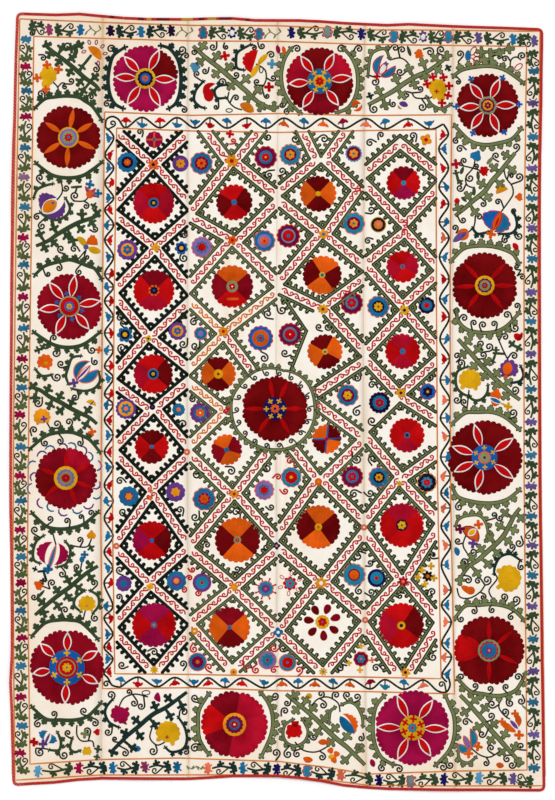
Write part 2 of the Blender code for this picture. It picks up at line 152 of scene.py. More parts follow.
# Roundels between the rosettes: place, radius, scallops, rings from outside
ROUNDELS = (
    (127.3, 162.4, 10.3, 12, "blue 10.3 12, ink 6.2, orange 3.8 7, amber 1"),
    (180.5, 163.6, 8.3, 0, "purple 8.3, amber 5 7, navy 1"),
    (154.3, 139.7, 8.6, 10, "magenta 8.6 10, orange 2.4, blue 1.8"),
    (201.4, 163.3, 11, 10, "blue 11 10, wine 7.4 10, orange 5.2 8, red 1.8"),
    (265.7, 157.3, 11, 12, "wine 11 12, blue 6.8, red 4.8 8, yellow 1.3"),
    (290.3, 154.7, 10.5, 14, "teal 10.5 14, wine 6.6, amber 4.8 6, blue 1.4"),
    (353.7, 153.7, 8, 14, "sky 8.6 16, wine 7.4, amber 4.8 6, blue 1.5"),
    (127.5, 249.7, 10.6, 12, "purple 10.6 12, amber 6.8, blue 5 6, salmon 1.6"),
    (181.4, 248, 7, 7, "blue 7 7, navy 4.6, yellow 2.2"),
    (125, 334.5, 8.3, 7, "blue 8.3 7, ink 5, yellow 2.6"),
    (177.6, 331, 9.3, 11, "purple 9.3 11, amber 6, blue 4.2 6, salmon 1.4"),
    (201.9, 247.1, 10.2, 13, "lavender 10.2 13, blue 6.6 8, red 4.8 7"),
    (264.4, 241, 10.6, 11, "blue 10.6 11, lavender 7, orange 4.6 6, red 1.4"),
    (288.4, 235.9, 11.5, 14, "wine 11.5 14, sky 7.4, red 6.2, blue 2"),
    (353.7, 223.4, 11, 9, "teal 11 9, wine 7, amber 4.6 6, blue 1.5"),
    (378.3, 224.7, 8, 0, "yellow 8, black 7.4, salmon 4.8 9, yellow 2"),
    (200.7, 333.5, 6.7, 9, "salmon 7 9, blue 6.3 9, lavender 3.4 6"),
    (260.6, 338.2, 12.2, 14, "royal 12.2 14, lavender 9.0, orange 8.4, blue 4.6 6, red 1.9"),
    (290, 334.4, 11.2, 14, "wine 11.2 14, teal 7.4, red 6 9, cream 1"),
    (351.6, 302.9, 11.2, 13, "wine 11.2 13, teal 6.6, red 5.4 7, blue 1.6"),
    (378.3, 306.7, 10.8, 12, "blue 10.8 12, ink 6.4, yellow 4.8 8, red 1.4"),
    (426.7, 305.4, 8.6, 9, "ink 8.6 9, blue 5.8, red 3"),
    (126, 408.7, 10.6, 15, "purple 10.6 15, amber 7.8, blue 5.6 7, salmon 2.4"),
    (178.6, 409.6, 6.6, 10, "blue 6.6 10, salmon 2.4"),
    (200.2, 412.8, 9.8, 12, "purple 9.8 12, blue 6.4, orange 4.8 6, cream 1"),
    (347.7, 395.3, 10.5, 9, "blue 10.5 9, wine 7, yellow 4.8 6, red 1.2"),
    (379.6, 402.7, 11, 16, "ink 11 16, blue 7.6 12, red 4.8 6, blue 1.5"),
    (427.7, 391.7, 8.3, 9, "scroll_red 8.6 9, royal 8 9, ink 5.6 6, yellow 1.6"),
    (128.8, 496.3, 10.3, 11, "blue 10.3 11, purple 5.4, amber 4 6"),
    (175.5, 492, 10, 11, "purple 10 11, amber 5 6"),
    (204.2, 498.9, 11.3, 10, "blue 11.3 10, magenta 7 8, orange 5 7, red 1"),
    (264.2, 490, 9.6, 12, "lavender 9.6 12, blue 5.6, red 4.4 6"),
    (291.2, 477.2, 9.8, 12, "teal 9.8 0, red 6.6 9, yellow 1.9"),
    (352.2, 476.6, 10.7, 14, "wine 10.7 14, blue 6.6, red 5 6, blue 1.6"),
    (378.9, 477.3, 10.2, 11, "blue 10.2 11, ink 6, yellow 4.2 7, red 1.6"),
    (426.8, 482.4, 10, 12, "yellow 10.3 12, ink 9.6 12, teal 6.2 8, red 4 6, blue 1"),
    (123.8, 583.5, 8.2, 10, "purple 8.2 10, blue 4 7"),
    (176.4, 580.8, 10.2, 10, "blue 10.2 10, purple 6.6 8, amber 3"),
    (202, 582.6, 8.8, 0, "purple 8.8, teal 6.7 9, red 1.9"),
    (265.7, 588.7, 7.6, 9, "teal 7.6 9, purple 4.6, orange 1.6"),
    (290, 583.4, 7.4, 8, "red 7.4 8, teal 5.2 5, red 1.8"),
    (354.1, 574.8, 11.2, 12, "teal 11.2 12, wine 6.4, orange 5"),
    (376.6, 578, 9.2, 0, "navy 9.2, teal 6.6, red 2.2"),
    (197.6, 661.9, 8.8, 0, "blue 8.8, wine 6.4 9, orange 2.2"),
    (267.4, 660, 8.8, 0, "lavender 8.8, teal 6.8 8, red 1.9"),
    (287.5, 662.5, 8.4, 0, "teal 8.4, red 6 9, blue 1.4"),
    (361, 658.9, 7.2, 9, "wine 7.2 9, teal 4.4 6, salmon 1.4"),
)

# Three unlike flowers between the roundels: one of seven petals, one with spokes and one ringed by loops
SEVEN_PETALS, SPOKED, LOOPED = (322.4, 622), (265.7, 588.7), (290, 583.4)

# Roundels right of the second seam have a thin edge: outer silk and silk of the edge
EDGED = {"blue": "salmon", "wine": "orange", "teal": "salmon", "lavender": "salmon", "royal": "scroll_red",
         "purple": "mauve"}

# Flowers on the crossings of the lattice: place, radius, petals, silk, silk of the heart
CROSSING_FLOWERS = (
    "153.3 164.6 5.2 8 orange ink, 231.7 161 6.4 6 amber red, 155.9 247.4 4.2 4 yellow salmon, "
    "148.3 338.6 3.4 4 yellow black, 232.4 240.2 5 5 orange red, 323.5 234.2 5 6 amber blue, "
    "223.4 331.4 5 6 amber red, 322.9 309.2 5 8 yellow red, 404.4 310.2 5 6 yellow ink, "
    "152.4 407 2.7 0 ink purple, 150.3 490.5 2.6 5 salmon orange, 150.2 498 2.6 5 orange salmon, "
    "186.9 452 3 0 salmon cream, 116.4 546 3 0 salmon cream, 234.2 494 4.6 6 amber red, "
    "318.4 481.7 3.4 0 orange yellow, 276.6 545.8 3.6 4 navy yellow, 364 527.3 3 0 salmon cream, "
    "321 583 6 7 amber cream, 400.9 393 5 5 yellow wine, 399.6 483.6 2.8 5 yellow amber, "
    "403 581.6 5.2 7 rose salmon, 154.2 669.6 3.8 8 yellow amber, 194.5 631.2 3.3 0 amber cream, "
    "233.6 672 3.2 0 amber wine, 278.2 632.3 4.8 4 blue cream, 323.1 671.5 4 8 yellow teal, "
    "365.2 620 3 0 salmon cream, 405.4 672.4 4.8 6 amber black, 150 586.6 3.6 4 yellow amber, "
    "234.4 587 4.2 6 amber yellow, 426 139.8 5.8 4 amber red, 427.7 576.2 5.4 7 black orange"
)

# Diamonds round the lattice rosettes, strip by strip from the top: left, top, right and bottom corner and
# how they are sewn, then the sides that are sewn and those with a band, where not all four are. The first
# rows of three strips are half diamonds, which the field's edge cuts.
DIAMONDS = {
    "strip_2": (
        (113, 121.5, 153, 80, 193, 121, 153.3, 158, "black"),
        (118, 209.8, 153.3, 171, 188, 210.4, 155, 239.5, "black"),
        (120, 293, 155, 256.3, 187.5, 295.5, 150.5, 329.7, "black"),
        (118, 378.8, 148.8, 343.5, 187.5, 374.5, 151.8, 404, "black"),
        (120, 450, 153.7, 415, 184, 451, 151.8, 482, "black"),
        (121, 545.8, 152.4, 502, 182, 545, 149, 574.5, "black"),
        (119, 627.4, 150.8, 592, 188, 624.5, 153.7, 665, "black"),
    ),
    "strip_3": (
        (194.5, 107.5, 231, 60, 271, 107.5, 231.5, 156.5, "plain"),
        (196.8, 213.6, 233.4, 168, 272, 199, 235, 235, "outlined"),
        (190.5, 293.6, 232, 247, 273, 287, 223.4, 325.2, "plain"),
        (189.6, 376, 223.4, 342.4, 256, 386, 224.5, 404, "plain"),
        (193.6, 449.8, 226, 418, 269, 441, 232.6, 488, "plain"),
        (196, 547, 234.5, 501, 274, 545, 235, 579.5, "outlined"),
        (197.5, 624, 233, 595.5, 269, 630, 232.3, 663, "plain"),
    ),
    "strip_4": (
        (297, 107.5, 321, 60, 353, 111.5, 321, 156.5, "plain"),
        (282.5, 196, 321, 164, 349.8, 190.6, 323, 228.5, "outlined"),
        (284.6, 284.4, 322.6, 240, 362.5, 271.6, 321, 302, "outlined"),
        (288, 348, 324, 316, 360.5, 356.5, 316, 386, "outlined", "rd"),
        (290, 436, 313, 408, 355.6, 439.5, 320.3, 474, "plain"),
        (280, 541, 319.5, 485.5, 361, 526.7, 321.6, 576.5, "outlined"),
        (286, 630.6, 321, 587, 359.8, 621, 322.9, 665.5, "outlined"),
    ),
    "strip_5": (
        (367.4, 178.3, 400.2, 150.6, 437, 180, 404.1, 215.6, "outlined"),
        (373.4, 264.5, 404.5, 239.4, 432.5, 270.6, 402.8, 298, "outlined"),
        (370.5, 355.6, 404.7, 319.6, 435, 354.5, 399.4, 386.6, "outlined"),
        (370, 432, 400, 403, 452, 436, 402.8, 471, "outlined", "urld", "rdl"),
        (368, 527, 399.2, 487, 433.5, 523.5, 402.2, 573.5, "outlined"),
        (369.2, 621.6, 402, 585, 433, 622.5, 402.6, 671, "outlined"),
    ),
}

# The field's part of each strip: left and right
STRIP_BOUNDS = {
    "strip_2": (117, 187), "strip_3": (190.5, 276), "strip_4": (279.5, 362.5), "strip_5": (366, 435.5),
}
FIELD_TOP, FIELD_BOTTOM = 131.5, 672.5
BAND = 11.4
MIDDLE_RING = (273, 409.5, 42.5)

# Toothed lines beside the middle that no diamond gives: how sewn, side of the teeth, places
WEDGE_STRIPS = (
    ("outlined", 1, (283.5, 297), (306.5, 331)), ("outlined", 1, (306.5, 331), (291.5, 369)),
)

# Thin orange guard lines, each closed or open, through its bends
GUARD_LINES = (
    "19.8 19, 104 22.7, 192 25.5, 280 26, 365 30, 450 30.5, 540 31.5, 537.4 240, 538.7 470, 543 785.6, "
    "455 785.6, 367 785, 330 780, 280 774.7, 102 774.7, 15 780, 13 560, 14 400, 16 240, 19.8 19",
    "33.8 36.4, 104 38.6, 192 41, 280 41.5, 365 44.5, 450 45.5, 526.6 46.5, 524 240, 524 470, 527 770, "
    "455 771, 367 774, 325 767, 280 761.4, 180 758, 102 759.4, 30 764, 27.4 560, 29 400, 31.3 240, "
    "33.8 36.4",
    "104.6 112, 192 115.4, 280 113.6, 365 115.6, 451.6 114.8, 450 300, 450.7 500, 454.5 693.8, "
    "365 691.5, 280 690.7, 192 687.6, 102.7 688.6, 100.8 520, 102.4 300, 104.6 112",
    "116.7 128.2, 192 131, 280 132.5, 365 130.6, 436 129.8, 436.4 300, 437.5 480, 441 678.7, 365 677, "
    "280 676, 192 674.4, 114.8 673.7, 112.5 520, 114.2 300, 116.7 128.2",
    "17.4 30, 15.6 130, 13.6 240, 11.8 400, 10.8 560, 12.4 774",
    "542 40, 539.8 240, 541 470, 545 776",
)

# Toothed arcs round the large rosettes: silk, side of the teeth, then the bends of the arc
ROSETTE_ARCS = (
    ("leaf", 1, "36 107, 45 99, 55 97, 66 96, 78 97, 85 101, 93 107, 101 119"),
    ("leaf", -1, "37 164, 52 175, 68 178, 82 176, 92 170, 101 163"),
    ("leaf", 1, "36 274, 45 266, 62 261, 72 260, 88 266, 95 269, 101 278"),
    ("leaf", -1, "35 333, 50 343, 62 347, 75 347, 86 343, 99 333"),
    ("leaf", 1, "31 448, 44 437, 55 433, 70 432, 80 435, 90 440, 99 451"),
    ("leaf", -1, "33 514, 46 526, 58 529, 72 528, 84 524, 97 513"),
    ("leaf", 1, "33 635, 45 623, 58 620, 70 620, 82 623, 97 638"),
    ("leaf", -1, "33 708, 46 719, 60 720, 75 720, 88 716, 100 704"),
    ("pine", -1, "124 48, 114 55, 110 65, 108 80, 110 95, 115 104, 122 108"),
    ("pine", 1, "162 46, 170 49, 178 60, 181 75, 180 92, 176 103, 170 108"),
    ("green", -1, "290 50, 284 60, 281 75, 283 90, 290 103, 299 112"),
    ("green", 1, "345 50, 352 58, 357 70, 358 85, 355 98, 348 108, 339 112"),
    ("green", 1, "455 75, 462 70, 475 67, 490 66, 503 69, 513 75, 522 82"),
    ("green", -1, "456 127, 470 141, 485 145, 500 143, 512 139, 520 130"),
    ("green", 1, "452 260, 463 249, 475 246, 490 246, 503 249, 513 254, 518 262"),
    ("green", -1, "456.5 312, 457.5 319, 462 326, 470 331, 485 333, 498 331, 508 325, 518 314"),
    ("green", 1, "453 423, 465 413, 478 412, 492 412, 505 417, 518 428"),
    ("green", -1, "453 488, 457 496, 465 500, 480 503, 495 503, 508 499, 518 491"),
    ("green", 1, "456 617, 465 606, 478 605, 492 604, 505 606, 515 611, 523 619"),
    ("green", -1, "459 680, 470 691, 483 694, 497 696, 508 694, 517 689, 525 675"),
    ("green", -1, "208 695, 199 710, 198 725, 199 738, 204 748, 208 753"),
    ("green", 1, "262 694, 268 702, 272 712, 273 725, 270 738, 262 755"),
    ("green", -1, "383 697, 376 706, 373 720, 373 735, 376 748, 382 758, 392 764"),
    ("green", 1, "446 697, 450 706, 454 716, 455 730, 453 742, 448 752, 437 764"),
)

# The finer toothed arc round the middle rosette
MIDDLE_ARC = (
    "green", -1,
    "285 371, 272 368, 258 370, 247 377, 238 387, 232 398, 231 410, 233 422, 238 432, 248 441, 262 448, "
    "276 450, 290 448, 303 440, 311 429, 315 415, 314 398, 309 385, 301 376.5, 292 372, 285 370.5",
)

# Slanting branches: silk, bends of the stem, places of the leaves
BRANCHES = (
    ("leaf", "44 44, 52 51, 64 60, 75 69, 85 78, 95 85, 100 91",
     "47 45, 62 48, 50 54, 59 62, 72 58, 70 72, 95 77, 80 82, 93 92, 83 91"),
    ("leaf", "72 59, 76 52, 75 46, 82 46",
     "80 45, 71 48"),
    ("green", "193 46, 205 57, 218 67, 232 79, 246 91, 258 102, 274 110",
     "203 46, 200 62, 217 56, 216 74, 229 67, 231 86, 246 79, 248 98, 258 90, 261 107, 274 107"),
    ("green", "368 105, 383 97, 395 90, 405 83, 417 76, 430 70, 447 57",
     "379 91, 396 79, 402 95, 409 69, 414 84, 385 105, 423 63, 425 77, 435 58, 438 70, 447 56"),
    ("leaf", "36 246, 48 241, 58 234, 70 227, 80 222, 92 218, 100 214",
     "40 234, 54 228, 45 248, 54 243, 67 236, 82 214, 97 213, 81 229, 92 223, 73 241"),
    ("leaf", "30 387, 40 390, 50 397, 60 402, 70 408, 80 413, 90 418, 97 424",
     "33 386, 35 398, 48 389, 60 396, 50 405, 60 411, 72 402, 77 417, 88 410, 86 425"),
    ("leaf", "98 566, 88 572, 78 580, 70 587, 60 594, 50 602, 42 609, 35 615",
     "90 565, 78 573, 68 580, 91 578, 79 588, 57 590, 68 597, 42 602, 58 606, 44 613"),
    ("green", "515 153, 507 163, 500 172, 492 181, 484 192, 474 200, 465 208, 455 216",
     "506 155, 494 168, 512 170, 482 184, 500 184, 468 196, 488 197, 458 208, 475 212"),
    ("green", "458 339, 466 348, 474 357, 482 366, 492 376, 503 386, 512 394, 520 400",
     "468 341, 463 354, 478 349, 474 366, 487 362, 484 376, 497 373, 496 385, 508 382, 506 396"),
    ("green", "520 508, 514 516, 510 524, 504 535, 497 543, 488 551, 478 560, 468 567, 458 582",
     "505 513, 521 518, 500 526, 514 530, 490 538, 508 541, 481 549, 497 553, 472 558, 488 564, 463 566, "
     "477 573, 460 580"),
    ("green", "460 695, 468 703, 475 711, 483 720, 491 730, 500 740, 507 748, 515 757, 522 765",
     "475 700, 465 712, 485 708, 478 727, 494 724, 491 740, 505 734, 502 752, 515 747, 519 762"),
    ("pine", "187 692, 175 701, 165 708, 155 713, 147 719, 138 727, 128 735, 118 745, 110 753",
     "168 698, 182 706, 155 706, 170 716, 136 720, 155 725, 125 733, 140 736, 133 748, 113 752"),
    ("green", "286 694, 298 704, 308 712, 318 721, 328 731, 338 740, 348 748, 357 757, 365 765",
     "295 695, 306 700, 296 710, 313 708, 308 721, 324 719, 318 732, 335 728, 331 742, 347 736, 345 760, "
     "360 748"),
    ("green", "490 48, 491 57, 492 66",
     "481 52, 509 49, 500 53, 484 60"),
)

# Single leaves off the branches: silk, place, length, way
LOOSE_LEAVES = (
    "leaf 82 67 9 235, leaf 94 206 8 -30, leaf 38 350 8 200, leaf 43 347 8 60, leaf 91 548 8 300, "
    "leaf 98 749 8 80, leaf 97 757 7 260, pine 35 569 6 160, pine 43 581 7 260, leaf 456 173 7 100, "
    "leaf 460 182 7 300, pine 370 96 8 110, pine 448 68 8 300, leaf 496 350 7 90, leaf 512 344 9 140, "
    "leaf 518.5 348 9 330, leaf 493 362 6 260, green 359 748 9 90"
)

# Small spirals of thin silk along each side of the wide border: place and radius
BORDER_CURLS = {
    "left": "32 33 2.5, 43 58 3, 68 46 4, 96 69 3.4, 65 87 2.5, 71 81 3, 41 94 3.4, 91 97 3, 111 49 4, "
        "107 104 3, 40 178 3.5, 66 188 3, 37 217 3, 75 196 4, 86 206 3, 42 226 3.5, 95 229 3, "
        "74 249 3.5, 87 257 2.5, 61 249 3.5, 59 268 3, 48 274 2.5, 79 272 3.2, 54 338 3, 56 353 4, "
        "92 350 3.5, 61 364 3.5, 95 362 3, 57 377 4, 38 403 4, 57 424 4, 69 422 3.5, 75 397 3.5, "
        "34 430 3.5, 45 443 3.2, 60 441 3.2, 80 443 3, 50 519 3, 67 521 3, 81 517 2.5, 91 513 3, "
        "35 530 3.5, 80 540 3, 62 574 3.5, 77 567 3, 94 583 3.5, 52 583 3.5, 34 597 3, 65 610 3.5, "
        "95 618 3.5, 54 714 3, 84 711 3.5, 38 724 3.5, 40 752 4, 64 755 4, 68 733 3, 87 731 3.5, "
        "95 723 3.5",
    "top": "182 50 4, 186 56 3, 184 110 3, 194 52 3, 213 47 3.5, 226 47 2.5, 222 82 3.5, 205 71 3, "
        "197 74 3, 236 75 3, 257 82 3, 236 98 3, 216 107 2.5, 271 55 3.5, 273 78 3, 267 96 2.5, "
        "262 46 3, 254 48 2.5, 297 49 3.5, 282 105 2.5, 287 112 3, 341 49 4, 359 49 3.5, 375 82 4, "
        "374 109 4, 400 72 3.5, 393 104 3, 395 48 3.5, 402 50 3.5, 430 52 4, 441 50 4, 407 95 3, "
        "420 89 3, 422 107 4, 460 54 3.5, 458 82 2.5, 499 57 2.5, 505 59 3, 522 56 3.5",
    "right": "456 141 3, 460 149 3.5, 496 156 3.5, 516 147 3.5, 464 161 3, 476 166 2.5, 470 178 4, "
        "460 188 3.5, 511 176 2.5, 519 177 4, 498 202 3, 483 204 3, 514 211 2.5, 519 236 3.5, 505 240 3, "
        "463 220 3, 455 228 3, 479 217 3.5, 522 277 3, 517 267 2.5, 457 311 3, 464 318 3.5, 474 323 3, "
        "483 325 3.5, 494 324 3, 507 315 3.5, 517 306 3, 515 328 4, 481 344 3.5, 489 347 4, 505 337 3.5, "
        "483 355 3.5, 514 356 3.5, 457 356 3.5, 461 363 3.5, 457 400 3.5, 464 402 3, 515 390 4, "
        "513 413 4, 459 507 3.5, 494 515 3, 500 518 3, 458 541 3, 473 552 3.5, 512 547 3, 519 543 4, "
        "521 567 3, 487 580 4.2, 478 581 3.2, 468 580 3.6, 464 562 3.5, 483 597 3, 504 597 3.5, "
        "516 600 4, 474 611 3, 492 610 3, 461 619 3, 511 617 3, 461 677 3.5, 475 686 3, 490 689 3, "
        "506 687 3, 518 677 3.5, 492 704 4, 491 716 3.5, 505 712 3.5, 510 703 3.5, 521 701 3.5, "
        "466 722 3.5, 482 734 3.5, 491 748 3.5, 521 746 3.5, 486 763 3, 507 759 3.5, 512 765 3.5",
    "bottom": "111 695 4, 108 732 3.5, 134 703 3.5, 141 706 3.5, 129 692 3, 115 739 2.5, 125 753 3.5, "
        "153 751 4, 184 712 4, 186 752 3, 195 698 3.5, 195 748 4, 275 696 3.5, 276 753 4, 321 694 3.5, "
        "336 695 3.5, 347 695 3.5, 357 697 3.5, 287 703 3, 285 711 3.5, 323 705 3.5, 288 754 4, "
        "297 754 3.5, 314 737 3, 322 757 3.5, 361 738 3, 382 768 3.5, 399 769 3.5, 450 765 3.5, "
        "443 767 4",
}

# Thin winding stems of the wide border's flowers, through their bends
VINES = (
    "53 82, 58 88, 58 97", "58 87, 62 83, 66 84", "504 170, 506 178, 512 186, 513 194, 509 201, 501 212",
    "86 250, 76 262", "46 421, 50 428, 51 432", "59 178, 62 185, 62 193, 57 200", "73 201, 84 201, 89 196",
    "92 537, 88 546, 80 547, 70 545", "82 562, 80 572", "42 586, 50 589", "86 608, 83 620",
    "36 748, 48 749", "77 725, 77 735, 82 741, 92 741, 94 747", "256 64, 265 70, 266 80, 262 88",
    "390 60, 400 58, 407 62, 410 68", "412 93, 416 98, 430 98, 434 94", "458 62, 462 69",
    "510 68, 511 60, 516 57, 521 60", "475 160, 473 168, 466 177, 467 185, 474 188",
    "459 165, 472 168, 482 171", "475 222, 473 228, 466 234", "497 336, 503 350, 508 360",
    "229 92, 228 100, 234 107, 242 110", "469 390, 467 408", "466 535, 463 545, 467 553, 470 558",
    "457 588, 460 597, 470 598, 480 592, 485 585", "494 573, 497 579, 489 590, 492 598",
    "500 700, 499 708, 505 716, 510 719", "471 748, 480 755, 490 757, 500 751",
    "119 707, 124 698, 135 694, 148 697", "152 728, 150 738, 157 745, 165 742",
    "312 705, 318 699, 328 697, 338 703, 340 712", "295 742, 303 750, 315 752, 325 748, 330 744",
    "52 530, 56 545", "521 270, 517 276",
)

# Toothed crescents that hold the wide border's flowers: silk, side of the teeth, bends
CRESCENTS = (
    ("leaf", -1, "52 184, 44 186, 37 190, 34 197"),
    ("leaf", 1, "66 199, 70 208, 66 216, 56 220, 45 216, 41 213"),
    ("leaf", -1, "36 370, 42 376, 51 375"),
    ("leaf", -1, "80 356, 72 358, 68 368, 66 376, 68 383"),
    ("leaf", -1, "43 536, 36 542, 33 552, 34 560, 39 563"),
    ("leaf", 1, "66 542, 70 548, 70 556, 66 564, 58 567"),
    ("leaf", -1, "84 591, 76 597, 74 605, 80 611"),
    ("leaf", 1, "91 591, 98 596, 99 605, 94 612"),
    ("leaf", 1, "58 733, 61 742, 59 750, 50 750"),
    ("leaf", -1, "72 739, 70 748, 74 752, 79 751"),
    ("pine", -1, "203 82, 196 90, 194 100, 199 106, 204 108"),
    ("pine", -1, "250 45, 238 52, 236 60, 237 68, 243 70"),
    ("green", 1, "368 75, 370 58, 375 51, 385 49, 389 57"),
    ("green", 1, "450 105, 441 109, 432 105, 427 98"),
    ("pine", 1, "514 212, 517 225, 512 233, 500 234"),
    ("pine", -1, "473 229, 478 234, 488 232"),
    ("leaf", -1, "467 367, 458 371, 455.5 379, 457 388, 463 394, 469 396"),
    ("leaf", -1, "469 397, 475 400.5, 482 399, 487 393, 488 386"),
    ("pine", 1, "521 367, 523.5 375, 520 381, 511 383"),
    ("pine", -1, "227 85, 219 86, 214.5 91, 217 98, 225 98"),
    ("leaf", -1, "73 389, 85 391, 95 388, 100 381, 99 373"),
    ("green", 1, "456 525, 458 520, 465 516, 478 515, 485 521, 488 532, 486 540"),
    ("pine", -1, "520 560, 510 554, 500 557, 495 566, 494 573"),
    ("green", -1, "458 752, 460 760, 468 763, 475 758"),
    ("pine", -1, "112 700, 107 706, 105 713, 109 722, 118 727"),
    ("pine", 1, "179 718, 185 728, 187 740, 183 749, 172 752, 166 748"),
    ("green", 1, "329 722, 330 712, 334 708"),
    ("green", 1, "343 704, 350 702, 357 706, 362 716, 363 725"),
    ("green", -1, "292 720, 285 725, 283 735, 287 743, 296 746, 305 741, 308 731, 303 720"),
)

# Petals between two bulges over one line: silk, start, end and the bulges (to the right of a line that
# runs down), then where it has them the scallops of the first bulge, the layer and the silk of the edge
SLIVERS = (
    "tangerine 88 47 101 60 6.4 -2.2, purple 58 199 42 212 -14.5 -5.5 6, "
    "purple 44 213.5 64 200 -12.5 -5.2 6, tangerine 43 212 57 201 6.4 -5.6 0 1 cream, "
    "orange 85 186 90 196 -1.6 2.4, orange 96 188 89 196 -2 2, orange 98 197 88 193 -2.4 1.8, "
    "purple 86 188 89 193 -1 1 0 2, purple 95 189 91 193 -1 1 0 2, purple 97 197 91 195 -1 0.8 0 2, "
    "yellow 77 237 86 247 4.4 -2, yellow 88 248 101 252 3.2 -3.8, orange 86 244 98 245 9.5 -0.6 4, "
    "blue 90 362 77 380 -9.6 -3 0 0 salmon, blue 98 370 79 381 6.4 -2.2 0 0 salmon, "
    "cream 90 366 78 380 2.6 -2.6 0 2 salmon, purple 91 365 76 381 1.4 -1.4 0 3, "
    "yellow 86 402 96 406 4.6 -0.4, purple 94 401 90 405 0.9 -0.9 0 2, magenta 53 542 46 564 -13 -3.6 5, "
    "magenta 58 543 54 565 12.6 3.4 5, blue 56 545 48 571 1.7 -1.7 0 2 salmon, "
    "blue 82 556 82 563 2.6 -2.6, blue 48 731 44 740 -7.4 -1.2 3, blue 51 734 48 743 7.6 1.4 3, "
    "purple 50 733 44 746 1.3 -1.3 0 2, red 258 50 251 73 -12 0.4 5, yellow 268 54 258 65 -3.4 2, "
    "yellow 259.5 64 251 78 2.4 -3.2, red 216 84 204 96 -7.2 -1.4, tangerine 240 104 254 112 5.2 -4, "
    "blue 384 56 379 76 -8.2 -2.4 0 0 scroll_red, blue 395 66 381 76 5.4 -0.6 0 0 scroll_red, "
    "cream 386 63 380 74 3 -2.6 0 2 scroll_red, purple 399 103 408 106 3.2 -2.4, "
    "yellow 398 105 402 109 -2.2 -0.4, blue 468 50 467 61 -2.6 3.6 0 1, "
    "royal 500 212 493 230 -14.5 -2.6 4 0 scroll_red, blue 502 213 494 231 12 2.6 4 0 scroll_red, "
    "orange 501 212 493 230 3.2 -3.2 0 2 scroll_red, red 499 217 495 227 1.3 -1.3 0 3, "
    "orange 467 229 459 240 6 -6, violet 453 242 467 232 3.8 -3 0 2, wine 461 237 465 234 0.9 -0.9 0 3, "
    "amber 496 194 508 189 5.4 -0.8 3, red 514 334 521 340 -3.4 3.6, red 522 332 517 341 3 -1, "
    "orange 509 362 506 375 5 -5 0 2, orange 501 375 511 374 -3.6 1.6, "
    "blue 490 398 501 403 2 -2 0 2 cream, orange 462.5 528 478 541 7.6 -3.4 0 0 wine, "
    "yellow 468.5 535 475.5 529.5 2.6 -2.6 0 2 cream, blue 455 547 458 556 3.4 -2.2, "
    "orange 461 586 471 594 4 -2.2, orange 515 713 517 728 5.6 -0.8, orange 500 721 516 732 2.8 -3.8, "
    "purple 510 720 518 729 2.2 -2.2 0 2 cream, teal 470 729 471 748 6.6 0.2 0 0 orange, "
    "teal 458 744 471 750 1 -6.2 0 0 orange, lavender 464 736 470 748 2 -2.6 0 2 orange, "
    "orange 496 764 504 766 2.6 -3.2, blue 134 748 141 749 2.8 -3.2, magenta 158 692 160 702 -4.8 1.4, "
    "orange 342 714 353 735 10.2 3.6 6, blue 340 716 355 733 3.2 -6.2 0 1, orange 318 742 328 742 3 -3, "
    "orange 303 758 313 760 2.4 -3.8, magenta 371 759 374 767 2.8 -2.6, red 291 722 299 721 -6 0.4, "
    "red 30 740 38 745 2.4 -1.4, red 454 201 460 201 3 -3.4, red 513 243 518 250 2.8 -2.8, "
    "magenta 277 45 279 54 -2.2 2.4, orange 283 46 285 55 -2 2, orange 352 108 361 104 6.4 0.8, "
    "orange 353 110 362 104 -1.2 -4.6"
)

# Flowers like a dome of petals on two feet: silk, place, half width, way, petals of the edge
DOMES = (
    "yellow 48.5 75 9.2 70 5, orange 45 362 8.2 80 6, amber 42 417 8.8 100 7, amber 91.5 535 4.8 90 3, "
    "orange 39 585 5.2 150 3, yellow 87 604 9 88 7, yellow 87 751 5 90 4, sky 195 67 5.4 30 4, "
    "orange 419 54 5 200 4, yellow 437 89 10.4 30 7, blue 476 156 6 60 3, red 484 171 5.2 160 4, "
    "purple 509 369 9.8 88 6, yellow 470 380 11.6 84 8, yellow 508 578.5 13.8 4 9, "
    "orange 496 394.5 6 75 3, orange 495 403 4.6 250 2, magenta 120 714 9.8 255 6, "
    "yellow 168 733 12.6 75 9, red 294 731 8.6 90 5, orange 519 197 4.2 180 3, red 97 732 3.6 180 3"
)

# Filled ovals of the wide border's flowers: silk, place, length, width, way and layer, then where it has
# them how pointed its far end is and the bumps of its edge
PETALS = (
    "yellow 46 84 10 9 90 0.6, blue 53 203 3.4 3 0 4, orange 90 194 9 8 90 0.6, blue 86 247 5.4 5.4 0 3, "
    "red 86 247 2.4 2.2 0 4, amber 46 363 5 4 0 2, salmon 87 606 2.6 3 90 2, "
    "red 208.6 95 13.5 10.6 100 0.6 0.15, yellow 441 97 9 9 90 0.6, orange 470.5 590.5 9 8.4 0 0.6, "
    "yellow 309 696 6 6 0 0, orange 330.5 750.5 6.6 6.2 60 0 0 3, orange 336.5 754 6.6 6.2 0 0.6 0 3, "
    "orange 334 760 6.6 6.2 -60 1.2 0 3, yellow 331 756.5 6 4.6 20 2, orange 307 760 5.6 5.6 0 0.6, "
    "magenta 156.6 697.5 5.4 5.4 0 0.6, leaf 462 170.5 8 4.2 70 0 0.3, leaf 478 175.5 9.4 4 95 0 0.3, "
    "leaf 474 191 9.4 4.2 90 0 0.3, leaf 464 199.5 7.4 3.6 -42 0 0.3, green 490 160.5 10 4.4 50 0 0.3, "
    "leaf 41 594 11 3.6 48 0 0.3, leaf 409 51 11 4 108 0 0.3, green 525 708 9 2.4 -42 0 0.3, "
    "magenta 124 722 8 4.6 -40 0.6 0.5"
)

